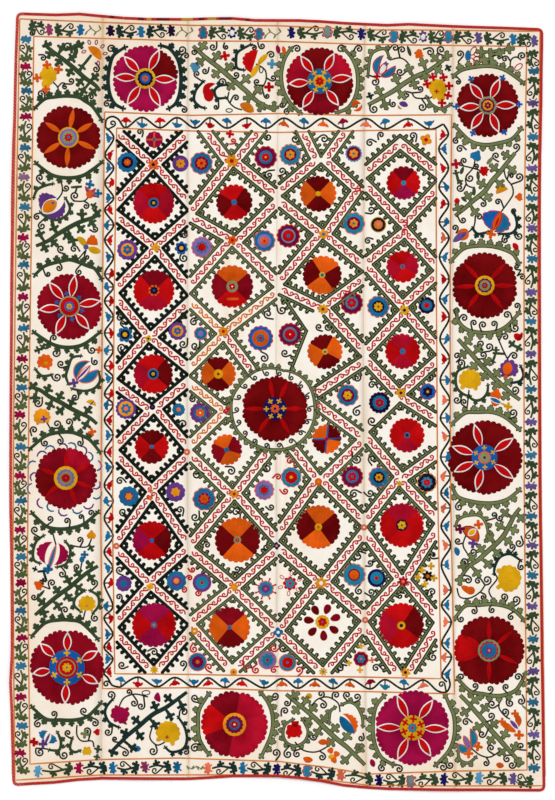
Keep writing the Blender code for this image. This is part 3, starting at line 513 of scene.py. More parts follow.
# Small outlined loops on the outer side of a flower: silk, place, length, way
LOOPS = (
    "mauve 86 51 4.4 200, mauve 90 44.5 4.4 110, mauve 96 44.5 4.4 80, mauve 101 48 4.4 45, "
    "mauve 103 54 4.4 10, mauve 98 61 4.4 -80, line 261 73 6.4 85, line 226 110.5 6.4 0, line 142 693 8 4, "
    "line 168 741 4 80, rose 471 55 9 60, rose 474 55 10 20, rose 474 58 9 -25, rose 471 58 8 -80, "
    "rose 515 70 9 40"
)

# Straight bars sewn over a flower: silk, place, length, width, way, layer
BARS = (
    "orange 154.3 139.7 17 2.4 0 2, orange 154.3 139.7 17 2.4 90 2.4, blue 154.3 139.7 3.4 3.4 45 5, "
    "royal 326.7 438.9 27 2.2 2 2, royal 326.7 438.9 27 2.2 84 2.4, red 326.7 438.9 3.6 3.6 45 5, "
    "leaf 87.5 60 13 3.4 52 0, orange 233 299 12 3.4 0 2, yellow 504 404.5 8 2.2 -24 1, "
    "leaf 76.5 187 11 3 4 0, leaf 76 190.5 7 2.4 70 0, pine 44 571 13 3 6 0, pine 45 576 11 3 -72 0, "
    "leaf 457.5 178 12 3.2 -78 0, leaf 499 353.5 13 3 176 0, leaf 494 358 8 3 70 0"
)

# Small crosses of the wide border: silk, place, size
SMALL_CROSSES = (
    "orange 47 65 4.4, orange 58.5 69.5 4.4, orange 37 78 4.4, orange 46 89.5 4.2, blue 90 184.5 4.4, "
    "blue 98 193.5 4.2, purple 74 383 4.4, purple 44 419 3.4, orange 92 432 4.2, orange 99 350 3.6, "
    "blue 48 569 4.8, blue 84.6 554.6 3.8, purple 43 744 4.4, red 34 742 4.4, green 85 734 4.4, "
    "red 225 56 4.8, sky 272 64 4.8, red 269 87 4.8, red 377 76.5 3.6, purple 386 64 2.6, red 433 77 4.2, "
    "red 443.5 77.5 4.2, red 427 84 4.2, red 449 86 4.2, red 448 95.5 4.2, red 442 103 4.2, "
    "red 436.5 91.5 2.4, rose 456 164 4.8, orange 491 234 4.8, wine 460 529 4.8, orange 478.5 524.5 4.6, "
    "purple 473 543.5 4.8, orange 519 735 4.8, orange 502 721.5 3.8, orange 515 713.5 3.8, "
    "orange 478 746.5 4.6, orange 468.5 753.5 4.6, yellow 508 406.5 4.2, rose 167 737 2, "
    "orange 328 742 2.4, red 230 134 4, yellow 431 566 3.6, yellow 422 570 3.6, yellow 418 577 3.6, "
    "yellow 434 578 3.6, yellow 425 584 3.6, yellow 361 646 3, yellow 349 663 3, yellow 360 670 3, "
    "salmon 372 660 3"
)

# Flowers along each side of the narrow border: silk, place, and the side of the curl on the stem that
# follows, or a sprig in its place. "none" is the bare end of a stem, "open" a hollow flower.
SIDE_FLOWERS = {
    "left": "steel 26 39.5 L, magenta 25.6 67 R, steel 26.5 91 L, magenta 26 117 R, steel 25 148 L, "
        "heather 24 177 R, steel 25 207 L, magenta 23 238 R, steel 24 265 L, magenta 23 297 R, "
        "steel 24 328 L, magenta 22 359 R, steel 22 388 L, magenta 20 415 R, steel 21 447 L, "
        "magenta 20 476 R, steel 21 501 L, magenta 20 530 R, steel 21 557 L, magenta 21 583 R, "
        "steel 21 611 L, magenta 22 638 R, steel 21 666 L, magenta 21 697 R, steel 22 726 L, "
        "magenta 20 753 R, none 25 779 R",
    "right": "none 531 45 R, steel 534 71 L, violet 533 103 R, steel 533 137 L, violet 532 168 R, "
        "steel 532 198 L, violet 532 228 R, steel 532 259 L, violet 531 292 R, steel 531 321 L, "
        "violet 531 354 R, steel 531 389 L, violet 531 422 R, steel 531 455 L, violet 531 486 R, "
        "steel 531 516 L, violet 532 545 R, steel 532 575 L, violet 532 606 R, steel 533 639 L, "
        "violet 533 671 R, steel 533 702 L, violet 534 734 R, steel 534 768 L",
    "top": "none 24 25 dn, mauve 49 30 up, blue 80.5 30 sprig, ink 110.5 31 up, blue 141 32 dn, "
        "ink 171 31 sprig, teal 203 33 dn, navy_open 232 33 up, teal 259 34 sprig, navy 291 33 up, "
        "grey 327.5 32 dn, navy 361.5 34 up, teal 393.5 37 dn, purple_open 423 37 up, teal 448 37 dn, "
        "violet 478 38 up, blue 513 39.5 dn, violet 534 41 up",
    "bottom": "sky 38 771 up, magenta 79 768 dn, blue 113 768 up, mauve 145 767 dn, blue 177 767 sprig, "
        "salmon 208 768 dn, blue 243 768 up, navy 277 769 dn, teal 307 771 up, salmon 341 775 dn, "
        "navy 379 780 up, grey 411 781 dn, navy 444 779 up, sky 479 778 dn, violet 513 779 up, "
        "none 538 783 up",
}

# Where the stems of the narrow border are of the dark green: from and to, from the left
DARK_STEMS = {"top": (100, 205), "bottom": (110, 370)}

# The meander along each side: start, end and swing of its vine, the bends that lead in and out at the
# corners, then the silk of each leaf and its place along. The vine swings past each leaf on its other side.
MEANDER = {
    "top": dict(
        start=(118, 122.5), end=(443, 124.2), swing=5.2,
        lead=((105.4, 127), (106.6, 119.5), (112.5, 116.6), (118.5, 119.5)),
        leaves="red 126, blue 142, red 160, blue 177, blue 195, red 210, blue 227, red 247, blue 266, "
               "orange 284, blue 304, orange 323, magenta 343, salmon 366, blue 385, red 408, blue 429",
    ),
    "left": dict(
        start=(109.4, 124), end=(108.4, 681), swing=4.4,
        lead=((105.4, 127),),
        tail=((108, 678), (112, 685), (119, 687)),
        leaves="blue 138, red 155, blue 168, red 183, blue 198, red 210, blue 225, red 240, blue 257, "
               "red 274, blue 287, red 301, blue 317, red 333, blue 350, red 366, blue 378, red 394, "
               "blue 405, red 420, blue 435, red 452, blue 467, red 485, blue 501, red 518, blue 536, "
               "red 552, blue 568, red 583, blue 606, red 618, blue 634, red 647, blue 659, red 672",
    ),
    "right": dict(
        start=(443.4, 124), end=(446.8, 682), swing=4.8,
        leaves="red 135, blue 149, red 168, blue 187, red 204, blue 222, salmon 238, blue 257, red 279, "
               "blue 299, red 317, blue 339, red 359, blue 380, salmon 400, blue 418, salmon 436, "
               "blue 457, salmon 476, blue 493, salmon 508, blue 526, salmon 545, blue 565, salmon 590, "
               "blue 605, salmon 622, blue 643, salmon 657, blue 674",
    ),
    "bottom": dict(
        start=(112, 681.6), end=(450, 685), swing=4.8,
        lead=((119, 687),),
        tail=((437, 690.5), (446, 692), (450, 685), (448, 676)),
        leaves="blue 121, red 138, blue 157, red 175, blue 194, red 208, blue 225, red 242, blue 264, "
               "orange 282, blue 298, orange 315, blue 333, orange 350, crimson 370, teal 385, blue 404, "
               "salmon 423",
    ),
}

# Curls at the corners of the meander: foot and middle
MEANDER_CURLS = ((106.6, 130, 112.6, 123.4), (110, 683, 106.4, 684), (446, 691, 441.5, 684.5))

# Curls in the lattice: their silk, then place and radius of each
FIELD_CURLS = {
    "line": "140 132 3, 268 137 3.5, 269 175 4, 184 235 3, 184 258 4, 183 315 3, 194 322 3.5, 195 346 4, "
        "183 344 4, 264 358 4, 268 314 4, 295 139 4, 324 139 4, 282 171 3.5, 381 135 3, 413 136 3.5, "
        "370 143 3.5, 371 210 3.5, 368 241 3, 282 310 4, 319 327 3, 328 327 3.5, 285 353 3.5, 120 318 3, "
        "123 323 2.5, 122 348 4, 357 378 3.5, 372 385 3.5, 357 412 4, 372 421 4, 357 459 4.5, "
        "372 459 3.5, 354 494 4, 370 493 3.5, 183 424 4, 193 399 3, 197 475 4, 231 471 4, 267 468 4.5, "
        "120 481 3.5, 123 512 3.5, 120 570 3.5, 119 597 3, 180 510 3.5, 195 517 4, 180 566 3.5, "
        "236 512 4, 271 507 3, 207 545 3, 266 547 3, 237 569 3, 358 556 4.5, 370 563 3, 359 591 3.5, "
        "371 592 3.5, 400 596 3, 183 664 3.5, 154 652 3.5, 122 665 3.5, 283 648 3.5, 341 668 3.5, "
        "376 668 3.5, 433 555 3.5, 432 592 3.5, 433 657 4, 430 378 3",
    "scroll_red": "192.5 569.5 2.6, 189.5 578 2.6, 198 593 3, 184 590 3, 290 461 3.5, 278 477 3, 285 491 3, "
        "194 649 3.5, 209 667 3.5, 247 666 3, 256 670 3.5, 274 670 3, 274 648 3.5, 299 670 3.5, "
        "233 141 2.6",
}

# Hooked commas round a large rosette: their silk and places
HOOKED_ROSETTE = (65.8, 478)
HOOKS = {
    "blue": "52 447, 75 446, 92 458, 32 462, 29 486, 97 498, 48 507, 75 512",
    "purple": "43 452, 66 446, 86 451, 33 474, 100 468, 97 488, 38 502, 60 513, 87 508",
}


def register_classes():
    return (SuzaniSettings, *OPERATORS, SUZANI_PT_panel)


def settings():
    return bpy.context.scene.suzani


def at(u, v):
    """A place of the chart, in metres from the middle of the cloth."""
    return (u - CHART_MIDDLE[0]) * UNIT, (CHART_MIDDLE[1] - v) * UNIT


def linear(colour):
    """A seen colour, 0 to 255, as light."""
    return tuple(((c / 255 + 0.055) / 1.055) ** 2.4 if c > 10 else c / 255 / 12.92 for c in colour)


class Cloth:
    """The face of the cotton that the silk lies on, bridged over the seams."""

    tree = None

    @classmethod
    def height(cls, x, y):
        hit = cls.tree.ray_cast(Vector((x, y, 0.1)), Vector((0, 0, -1)))[0]
        if hit:
            return hit.z
        beside = [cls.tree.ray_cast(Vector((x + step, y, 0.1)), Vector((0, 0, -1)))[0]
                  for step in (-0.002, 0.002)]
        return max(place.z for place in beside if place) if any(beside) else 0.0015


class Needlework:
    """Gathers the sewn shapes of one piece, in chart units, and lays them on the cloth."""

    def __init__(self, edged=None):
        self.edged = edged or {}
        self.points, self.heights, self.grain, self.dye_and_sheen = [], [], [], []
        self.stems = []
        self.faces, self.face_silks, self.silks = [], [], []

    def silk_index(self, silk):
        if silk not in self.silks:
            self.silks.append(silk)
        return self.silks.index(silk)

    def add(self, points, heights, grain, dye_and_sheen, faces, silk):
        first = len(self.points)
        self.points += points
        self.heights += heights
        self.grain += grain
        self.dye_and_sheen += dye_and_sheen
        self.faces += [[first + i for i in face] for face in faces]
        self.face_silks += [self.silk_index(silk)] * len(faces)

    def fill(self, outline, silk, level=0, grain=0.0, dye_and_sheen=0.0):
        """A filled shape with rounded edges. Its grain is its threads' way, or its middle if they spread."""
        if area_of(outline) < 0:
            outline = outline[::-1]
        if silk in self.edged:
            self.fill(inset(outline, -0.35), self.edged[silk], level - 1.5, grain, dye_and_sheen)
            outline = inset(outline, 0.35)
        count = len(outline)
        top = settings().silk_height + level * settings().layer_height
        rings = ((outline, -0.0003), (inset(outline, 0.05), 0.6 * top), (inset(outline, 0.28), top))
        points = [point for ring, _ in rings for point in ring]
        heights = [height for _, height in rings for _ in outline]
        faces = [list(range(count))[::-1], list(range(2 * count, 3 * count))]
        for ring in (0, 1):
            for i in range(count):
                j = (i + 1) % count
                low = ring * count
                faces.append([low + i, low + j, low + count + j, low + count + i])
        dyes_and_sheen = [dye_and_sheen(*point) if callable(dye_and_sheen) else dye_and_sheen for point in points]
        self.add(points, heights, [thread_place(point, grain) for point in points], dyes_and_sheen, faces, silk)

    def ribbon(self, path, width, silk, level=0, dye_and_sheen=0.0):
        """A sewn line along a path. width is one width or one for each point."""
        count = len(path)
        widths = width if isinstance(width, (list, tuple)) else [width] * count
        if silk in self.edged:
            self.ribbon(path, [size + 0.6 for size in widths], self.edged[silk], level - 1.5, dye_and_sheen)
            widths = [size - 0.9 for size in widths]
        top = settings().silk_height + level * settings().layer_height
        section = ((-0.5, -0.0003), (-0.40, 0.72 * top), (0.0, top), (0.40, 0.72 * top), (0.5, -0.0003))
        points, heights, grain = [], [], []
        run = 0.0
        for i, (u, v) in enumerate(path):
            u0, v0 = path[max(i - 1, 0)]
            u1, v1 = path[min(i + 1, count - 1)]
            length = math.hypot(u1 - u0, v1 - v0) or 1.0
            side = (-(v1 - v0) / length, (u1 - u0) / length)
            if i:
                run += math.hypot(u - u0, v - v0)
            for across, height in section:
                reach = across * widths[i]
                points.append((u + side[0] * reach, v + side[1] * reach))
                heights.append(height)
                grain.append((run * UNIT, reach * UNIT))
        size = len(section)
        faces = []
        for i in range(count - 1):
            for k in range(size - 1):
                a = i * size + k
                faces.append([a, a + 1, a + size + 1, a + size])
            faces.append([i * size + size - 1, i * size, (i + 1) * size, (i + 2) * size - 1])
        faces.append(list(range(size))[::-1])
        faces.append(list(range((count - 1) * size, count * size)))
        self.add(points, heights, grain, [dye_and_sheen] * len(points), faces, silk)

    def build(self, name):
        """Makes the mesh, with its stitch UVs, its tone attribute of dye and painted sheen, and its silks,
        riding on the cloth.
        """
        mesh = bpy.data.meshes.new(name)
        verts = []
        for (u, v), height in zip(self.points, self.heights):
            x, y = at(u, v)
            verts.append((x, y, Cloth.height(x, y) + height))
        mesh.from_pydata(verts, [], self.faces)
        layer = mesh.uv_layers.new(name="stitch")
        loops = [loop.vertex_index for loop in mesh.loops]
        for place, index in zip(layer.data, loops):
            place.uv = self.grain[index]
        dye_and_sheen = mesh.attributes.new("dye_and_sheen", "FLOAT", "POINT")
        dye_and_sheen.data.foreach_set("value", self.dye_and_sheen)
        for silk in self.silks:
            mesh.materials.append(silk_material(silk))
        mesh.polygons.foreach_set("material_index", self.face_silks)
        mesh.polygons.foreach_set("use_smooth", [True] * len(mesh.polygons))
        mesh.update()
        work = bmesh.new()
        work.from_mesh(mesh)
        bmesh.ops.recalc_face_normals(work, faces=work.faces)
        work.to_mesh(mesh)
        work.free()
        return placed(name, mesh)


def rows_of(text):
    """The rows of a table that is written as text: names stay words, and the rest are numbers."""
    return [tuple(word if word[0].isalpha() else float(word) if "." in word else int(word)
                  for word in row.split()) for row in text.split(",")]


def span(a, b):
    """How far apart two places are."""
    return math.hypot(b[0] - a[0], b[1] - a[1])


def between(a, b, t):
    """The place at a share of the way from one place to another."""
    return a[0] + (b[0] - a[0]) * t, a[1] + (b[1] - a[1]) * t


def heading(a, b):
    """The way from one place to another, in degrees anticlockwise from the right."""
    return math.degrees(math.atan2(a[1] - b[1], b[0] - a[0]))


def filled(row, least, *defaults):
    """A row of a table, with its defaults where it ends early, after its least number of items."""
    return (*row, *defaults[len(row) - least:])


def area_of(outline):
    return sum(u0 * v1 - u1 * v0 for (u0, v0), (u1, v1) in zip(outline, outline[1:] + outline[:1])) / 2


def inset(outline, amount):
    """An outline drawn in, each corner along the middle of its two sides."""
    made = []
    for (u0, v0), (u, v), (u1, v1) in zip(outline[-1:] + outline[:-1], outline, outline[1:] + outline[:1]):
        before = Vector((u - u0, v - v0)).normalized()
        after = Vector((u1 - u, v1 - v)).normalized()
        way = before + after
        if way.length < 0.2:
            made.append((u, v))
            continue
        way.normalize()
        made.append((u - way.y * amount, v + way.x * amount))
    return made


def thread_place(point, grain):
    """Where a point lies along and across the threads, in metres."""
    u, v = point
    if isinstance(grain, tuple):
        du, dv = u - grain[0], v - grain[1]
        reach = math.hypot(du, dv)
        return reach * UNIT, math.atan2(dv, du) * 14.0 * UNIT
    way = math.radians(grain)
    return (u * math.cos(way) - v * math.sin(way)) * UNIT, (u * math.sin(way) + v * math.cos(way)) * UNIT


def polar(u, v, radius, degrees):
    """The place at a distance and a direction, anticlockwise from the right."""
    turn = math.radians(degrees)
    return u + radius * math.cos(turn), v - radius * math.sin(turn)


def disc(u, v, radius, scallops=0, depth=0.12, turn=0.0, steps=None):
    """A round outline, or a scalloped one."""
    count = steps or max(16, scallops * 4)
    outline = []
    for i in range(count):
        angle = 360.0 * i / count
        reach = radius
        if scallops:
            reach *= 1.0 - depth * (1.0 - abs(math.sin(math.radians(angle * scallops / 2))))
        outline.append(polar(u, v, reach, angle + turn))
    return outline


def wandering(rng, size):
    """A slow wander round a ring, for a hand-drawn circle."""
    waves = [(rng.uniform(0, math.tau), rng.uniform(0.4, 1.0) * size / n, n) for n in (2, 3, 5, 7)]
    return lambda angle: sum(height * math.sin(n * math.radians(angle) + start) for start, height, n in waves)


def rings(work, u, v, text, level, turn=0.0):
    """The rings of a hub or roundel, from outside, each a little higher than the last."""
    for step, ring in enumerate(text.split(",")):
        silk, radius, *scallops = ring.split()
        count = int(scallops[0]) if scallops else 0
        depth = 0.24 if count < 9 else 0.09
        radius = float(radius)
        outline = disc(u, v, radius, count, depth, turn + 17 * step)
        work.fill(outline, silk, level + step, grain=(u, v), dye_and_sheen=0.1 * math.sin(u + step))


def curve_through(points, steps=5):
    """A smooth path through a few points."""
    if len(points) < 3:
        return list(points)
    ends = [points[0]] + list(points) + [points[-1]]
    path = []
    for a, b, c, d in zip(ends, ends[1:], ends[2:], ends[3:]):
        for step in range(steps):
            t = step / steps
            path.append(tuple(
                0.5 * (2 * b[k] + (c[k] - a[k]) * t + (2 * a[k] - 5 * b[k] + 4 * c[k] - d[k]) * t * t
                       + (3 * b[k] - a[k] - 3 * c[k] + d[k]) * t**3)
                for k in (0, 1)
            ))
    return path + [points[-1]]


def lens(u, v, near, far, direction, width, steps=7):
    """A petal, pointed at both ends, from a distance near to a distance far of a middle."""
    sides = []
    for side in (1, -1):
        line = []
        for i in range(steps + 1):
            t = i / steps
            half = width / 2 * math.sin(math.pi * min(max(t, 0.02), 0.98)) ** 0.8
            cu, cv = polar(u, v, near + (far - near) * t, direction)
            line.append(polar(cu, cv, half, direction + 90 * side))
        sides.append(line)
    return sides[0] + sides[1][::-1]


def large_rosette(work, row, rng):
    """Six lobes of couched silk with a scalloped edge, six rays and a ringed hub."""
    u, v, radius = row["u"], row["v"], row["r"]
    lobes, rays = row["lobes"].split(), [float(ray) for ray in row["rays"].split()]
    ray_silk = row.get("silk", "red")
    wander = wandering(rng, 0.5)
    work.fill(disc(u, v, radius - 2.2, steps=48), lobes[0], -2, grain=(u, v))
    for lobe, start in enumerate(rays):
        end = rays[(lobe + 1) % 6] + (360 if lobe == 5 else 0)
        silk = lobes[lobe % len(lobes)]
        scallops = max(4, round((end - start) * radius / 325))
        steps = scallops * 6
        outline = []
        wobble = 1.0
        for i in range(steps + 1):
            if i % 6 == 0:
                wobble = rng.uniform(0.65, 1.15)
            angle = start - 0.5 + (end - start + 1.0) * i / steps
            scallop = abs(math.sin(math.pi * scallops * i / steps)) ** 0.6
            notch = 1.7 * math.exp(-((min(i, steps - i) / steps * (end - start) / 7) ** 2))
            reach = radius - 0.9 + 1.9 * scallop * wobble + wander(angle) - notch
            outline.append(polar(u, v, reach, angle))
        outline += [polar(u, v, 2.0, end + (start - end) * i / 4) for i in range(5)]
        # Painted sheen: each lobe is made lighter or darker as a whole, as if its threads caught the light at
        # their own angle; the tone also darkens towards the hub and swings lighter and darker six times round
        # the rosette.
        depth = rng.uniform(-0.22, 0.22)

        def shade(pu, pv, depth=depth, start=start):
            reach = math.hypot(pu - u, pv - v) / radius
            turn = math.degrees(math.atan2(v - pv, pu - u)) - start
            return depth + 0.4 * (reach - 0.7) + 0.2 * math.cos(math.radians(turn * 6))

        work.fill(outline, silk, 0, grain=(u, v), dye_and_sheen=shade)
    first_ring = float(row["hub"].split(",")[0].split()[1])
    for way in rays:
        far = radius * rng.uniform(0.88, 0.95)
        if row["ray"] == "petal":
            work.fill(lens(u, v, first_ring - 2, far + 1.3, way, 9.2), "cream", 1, grain=-way)
            work.fill(lens(u, v, first_ring - 1, far - 0.9, way, 6.8), ray_silk, 3, grain=-way, dye_and_sheen=0.1)
        elif row["ray"] == "lens":
            work.fill(lens(u, v, first_ring - 2, far, way, 5.6), ray_silk, 2, grain=-way)
        elif row["ray"] == "wedge":
            work.fill(lens(u, v, first_ring - 3, far, way, 5.0), ray_silk, 1, grain=-way, dye_and_sheen=-0.25)
    rings(work, u, v, row["hub"], 4, rays[0])


def cross(u, v, size, turn=0.0):
    """A small cross with rounded arms."""
    outline = []
    for arm in range(4):
        way = turn + 90 * arm
        for offset, reach in ((-33, 0.60), (-22, 0.96), (0, 1.10), (22, 0.96), (33, 0.60), (45, 0.46)):
            outline.append(polar(u, v, size * reach, way + offset))
    return outline


def lattice_rosette(work, row, rng):
    """A scalloped round in four silks, with a small hub."""
    u, v, radius, silks, turn, hub = row
    wander = wandering(rng, 0.35)
    work.fill(disc(u, v, radius - 1.8, steps=40), silks.split()[0], -2, grain=(u, v))
    edges = [45 + turn + rng.uniform(-5, 5) + 90 * k for k in range(4)]
    edges.append(edges[0] + 360)
    for k, silk in enumerate([silks.split()[i] for i in (0, 3, 2, 1)]):
        low, high = edges[k], edges[k + 1]
        scallops = max(4, round((high - low) * radius / 325))
        steps = scallops * 5
        outline = []
        for i in range(steps + 1):
            angle = low - 0.8 + (high - low + 1.6) * i / steps
            scallop = abs(math.sin(math.pi * scallops * i / steps)) ** 0.6
            outline.append(polar(u, v, radius - 1.1 + 1.5 * scallop + wander(angle), angle))
        outline.append((u, v))
        # Painted sheen: each quarter is made lighter or darker as a whole, as if its threads caught the light
        # at their own angle.
        shade = rng.uniform(-0.25, 0.25)
        work.fill(outline, silk, 0, grain=(u, v), dye_and_sheen=shade)
    rings(work, u, v, hub, 2, turn)


def toothed(work, path, silk, side, width=2.6, pitch=6.2, reach=3.6, level=0, tooth=2.9, ends=1.5):
    """A sewn line with a row of hooked teeth on one side."""
    length = path_length(path)
    teeth = max(1, round((length - 2 * ends) / pitch))
    work.ribbon(path, width, silk, level)
    for number in range(teeth):
        along = ends + (number + 0.5) * (length - 2 * ends) / teeth
        (u, v), (du, dv) = along_path(path, along)
        nu, nv = -dv * side, du * side
        line = []
        for t, lean in ((0.1, -0.3), (0.5, -0.1), (0.85, 0.3), (1.06, 1.1)):
            line.append((u + nu * reach * t + du * lean, v + nv * reach * t + dv * lean))
        work.ribbon(line, [tooth * 0.85, tooth, tooth * 1.05, tooth * 0.55], silk, level)


def path_length(path):
    return sum(span(a, b) for a, b in zip(path, path[1:]))


def along_path(path, distance):
    """A place at a distance along a path, and the way the path runs there."""
    for a, b in zip(path, path[1:]):
        step = span(a, b)
        if step and distance <= step:
            return between(a, b, distance / step), ((b[0] - a[0]) / step, (b[1] - a[1]) / step)
        distance -= step
    a, b = path[-2], path[-1]
    step = span(a, b) or 1.0
    return b, ((b[0] - a[0]) / step, (b[1] - a[1]) / step)


def curl_path(start, middle, radius, side, turns=1.25):
    """A line from a start to a spiral that winds in round its middle."""
    du, dv = start[0] - middle[0], start[1] - middle[1]
    distance = math.hypot(du, dv)
    way = math.atan2(dv, du)
    if distance > radius * 1.02:
        lead = math.acos(radius / distance)
        touch = way - side * lead
        path = [start, ((start[0] + middle[0] + radius * math.cos(touch)) / 2,
                        (start[1] + middle[1] + radius * math.sin(touch)) / 2)]
    else:
        touch = way
        path = []
    steps = int(12 * turns)
    for i in range(steps + 1):
        t = i / steps
        reach = radius * (1 - 0.78 * t)
        angle = touch - side * math.tau * turns * t
        path.append((middle[0] + reach * math.cos(angle), middle[1] + reach * math.sin(angle)))
    return path


def scroll(work, start, end, silk, flip=1):
    """A running scroll: a waving line with a small curl in every bend."""
    length = span(start, end)
    halves = max(2, round(length / 6.6))
    du, dv = (end[0] - start[0]) / length, (end[1] - start[1]) / length
    path = []
    for i in range(halves * 5 + 1):
        t = i / (halves * 5)
        wave = 2.3 * math.sin(math.pi * halves * t) * flip
        path.append((start[0] + du * length * t - dv * wave, start[1] + dv * length * t + du * wave))
    work.ribbon(path, 1.65, silk)
    for half in range(halves):
        t = (half + 0.62) / halves
        sign = flip * (1 if half % 2 == 0 else -1)
        wave = 2.3 * sign
        foot = (start[0] + du * length * t - dv * wave, start[1] + dv * length * t + du * wave)
        inner = (foot[0] - du * 1.9 + dv * wave * 1.25, foot[1] - dv * 1.9 - du * wave * 1.25)
        work.ribbon(curl_path(foot, inner, 2.15, -sign, 0.95), 1.45, silk)


def turned(u, v, way, pairs):
    """Places given along and across a way, set out round a middle."""
    cosine, sine = math.cos(math.radians(way)), math.sin(math.radians(way))
    return [(u + along * cosine - across * sine, v - along * sine - across * cosine)
            for along, across in pairs]


def blob(u, v, length, width, way=0.0, point=0.0, bumps=0, steps=24):
    """A petal: an oval along its way, drawn to a point at its far end, or with a bumpy edge."""
    steps = max(steps if length > 9 else 16, bumps * 5)
    pairs = []
    for i in range(steps):
        angle = math.tau * i / steps
        swell = 1.0
        if bumps:
            swell = 0.76 + 0.30 * abs(math.cos(angle * bumps / 2)) ** 0.7
        along = math.cos(angle) * length / 2 * swell
        across = math.sin(angle) * width / 2 * swell * (1 - point * ((math.cos(angle) + 1) / 2) ** 1.4)
        pairs.append((along, across))
    return turned(u, v, way, pairs)


def shaped(u, v, size, way, half, rng, spread):
    """An outline from one half of its shape, given from the tip back, along and across its way."""
    both = list(half) + [(along, -across) for along, across in reversed(half)]
    pairs = [(along * (size * (1 + rng.uniform(-spread, spread))),
              across * (size * (1 + rng.uniform(-spread, spread)))) for along, across in both]
    return turned(u, v, way, pairs)


def sliver(u0, v0, u1, v1, outer, inner, bumps=0, more=0.0, steps=13):
    """The outline between two bulges over one line, the first one with scallops."""
    length = math.hypot(u1 - u0, v1 - v0)
    du, dv = (u1 - u0) / length, (v1 - v0) / length
    hand = 1 if outer > inner else -1
    steps = max(steps, bumps * 5)
    outline = []
    for back, bulge in ((False, outer + hand * more), (True, inner - hand * more)):
        for i in range(steps):
            t = 1 - i / steps if back else i / steps
            swell = math.sin(math.pi * t) ** 0.62
            reach = bulge * swell
            if bumps and not back:
                scallop = abs(math.sin(math.pi * bumps * t)) ** 0.7 - 0.6
                reach += hand * 1.5 * min(1.0, 2.2 * swell) * scallop
            along = length * t + more * (2 * t - 1)
            outline.append((u0 + du * along + dv * reach, v0 + dv * along - du * reach))
    return outline


def dome(u, v, half, way, petals, rng):
    """The outline of a fan of rounded petals over two feet."""
    rounds = [(0.0, 0.0, half * 0.74)]
    rounds += [(-0.08 * half, across * half, 0.5 * half) for across in (0.42, -0.42)]
    for i in range(petals):
        angle = math.radians(-104 + 208 * i / max(1, petals - 1))
        size = 0.62 * half / (petals ** 0.45) * rng.uniform(0.9, 1.1)
        rounds.append((math.cos(angle) * (0.86 * half - size * 0.5), math.sin(angle) * (half - size), size))
    for across in (-0.56, 0.60):
        rounds.append((-0.66 * half * rng.uniform(0.85, 1.15), across * half, 0.19 * half))
    return cluster(u, v, way, rounds, 72 if half > 7 else 48)


# Half outlines along and across their way: a branch's leaf, a leaf of the meander, a bud of a toothed arc
LEAF = ((1.04, 0.16), (0.84, 0.46), (0.30, 0.34), (0.26, 0.58), (0.34, 0.86), (0.10, 1.08), (-0.26, 0.98),
        (-0.30, 0.56), (-0.56, 0.34), (-1.0, 0.32))
BOAT = ((-5.2, 0.6), (-4.3, 1.5), (-3.1, 1.0), (-2.2, 2.3), (-0.6, 2.7), (1.0, 2.5), (2.2, 1.5), (3.6, 1.7),
        (5.3, 0.6))
BUD = ((0.98, 0.24), (0.74, 0.52), (0.36, 0.56), (0.34, 0.96), (-0.06, 1.10), (-0.42, 0.86), (-0.7, 0.7))


def trefoil(work, u, v, size, way, silk, rng, level=1):
    """A leaf of three blunt lobes on a short stalk, its middle lobe along its way."""
    outline = shaped(u, v, size * 0.92, way, LEAF, rng, 0.09)
    work.fill(outline, silk, level, grain=-way, dye_and_sheen=rng.uniform(-0.15, 0.15))


def cluster(u, v, way, rounds, steps):
    """The outline of overlapping rounds, each given by its place along and across the way and its radius."""
    pairs = []
    for i in range(steps):
        angle = math.tau * i / steps
        du, dv = math.cos(angle), math.sin(angle)
        reach = 0.4
        for along, across, radius in rounds:
            middle = along * du + across * dv
            under = radius * radius - along * along - across * across + middle * middle
            if under > 0:
                reach = max(reach, middle + math.sqrt(under))
        pairs.append((du * reach, dv * reach))
    return turned(u, v, way, pairs)


def nearest_on(path, u, v):
    return min(path, key=lambda place: span(place, (u, v)))


def branch(work, row, rng):
    """A slanting stem with leaves of three lobes to both sides."""
    silk, bends, leaves = row
    path = curve_through(rows_of(bends), 4)
    count = len(path)
    widths = [3.0 + 2.2 * math.sin(math.pi * (0.10 + 0.85 * i / count)) for i in range(count)]
    work.ribbon(path, widths, silk, 0)
    work.stems += path
    for u, v in rows_of(leaves):
        foot = nearest_on(path, u, v)
        way = heading(foot, (u, v))
        if span(foot, (u, v)) > 2.5:
            work.ribbon([foot, ((foot[0] + u) / 2, (foot[1] + v) / 2), (u, v)], [3.4, 3.1, 2.9], silk, 0)
        trefoil(work, u, v, 5.6, way + rng.uniform(-14, 14), silk, rng)


def toothed_arc(work, row, rng, width=4.2, pitch=8.6, size=3.3, ends=3.4):
    """A sewn arc with lobed buds along its outer side and a leaf at each end."""
    silk, side, bends = row
    path = curve_through(rows_of(bends), 5)
    count = len(path)
    widths = [width * (0.62 + 0.42 * math.sin(math.pi * (i + 1) / (count + 1)) ** 0.5) for i in range(count)]
    work.ribbon(path, widths, silk, 0)
    work.stems += path
    length = path_length(path)
    buds = max(2, round((length - 8) / pitch))
    for number in range(buds):
        along = 4 + (number + 0.5) * (length - 8) / buds
        (u, v), (du, dv) = along_path(path, along)
        nu, nv = dv * side, -du * side
        way = math.degrees(math.atan2(-nv, nu)) + rng.uniform(-12, 12)
        reach = width * 0.5 + size * 0.42
        shape = shaped(u + nu * reach, v + nv * reach, size * rng.uniform(0.9, 1.12), way, BUD, rng, 0.12)
        work.fill(shape, silk, 0, grain=-way, dye_and_sheen=rng.uniform(-0.1, 0.1))
    if ends:
        for near, far in ((path[0], path[3]), (path[-1], path[-4])):
            way = heading(far, near)
            lean = way + 18 * side * (1 if near is path[0] else -1)
            trefoil(work, *polar(*near, ends * 0.35, way), ends, lean, silk, rng, 0)


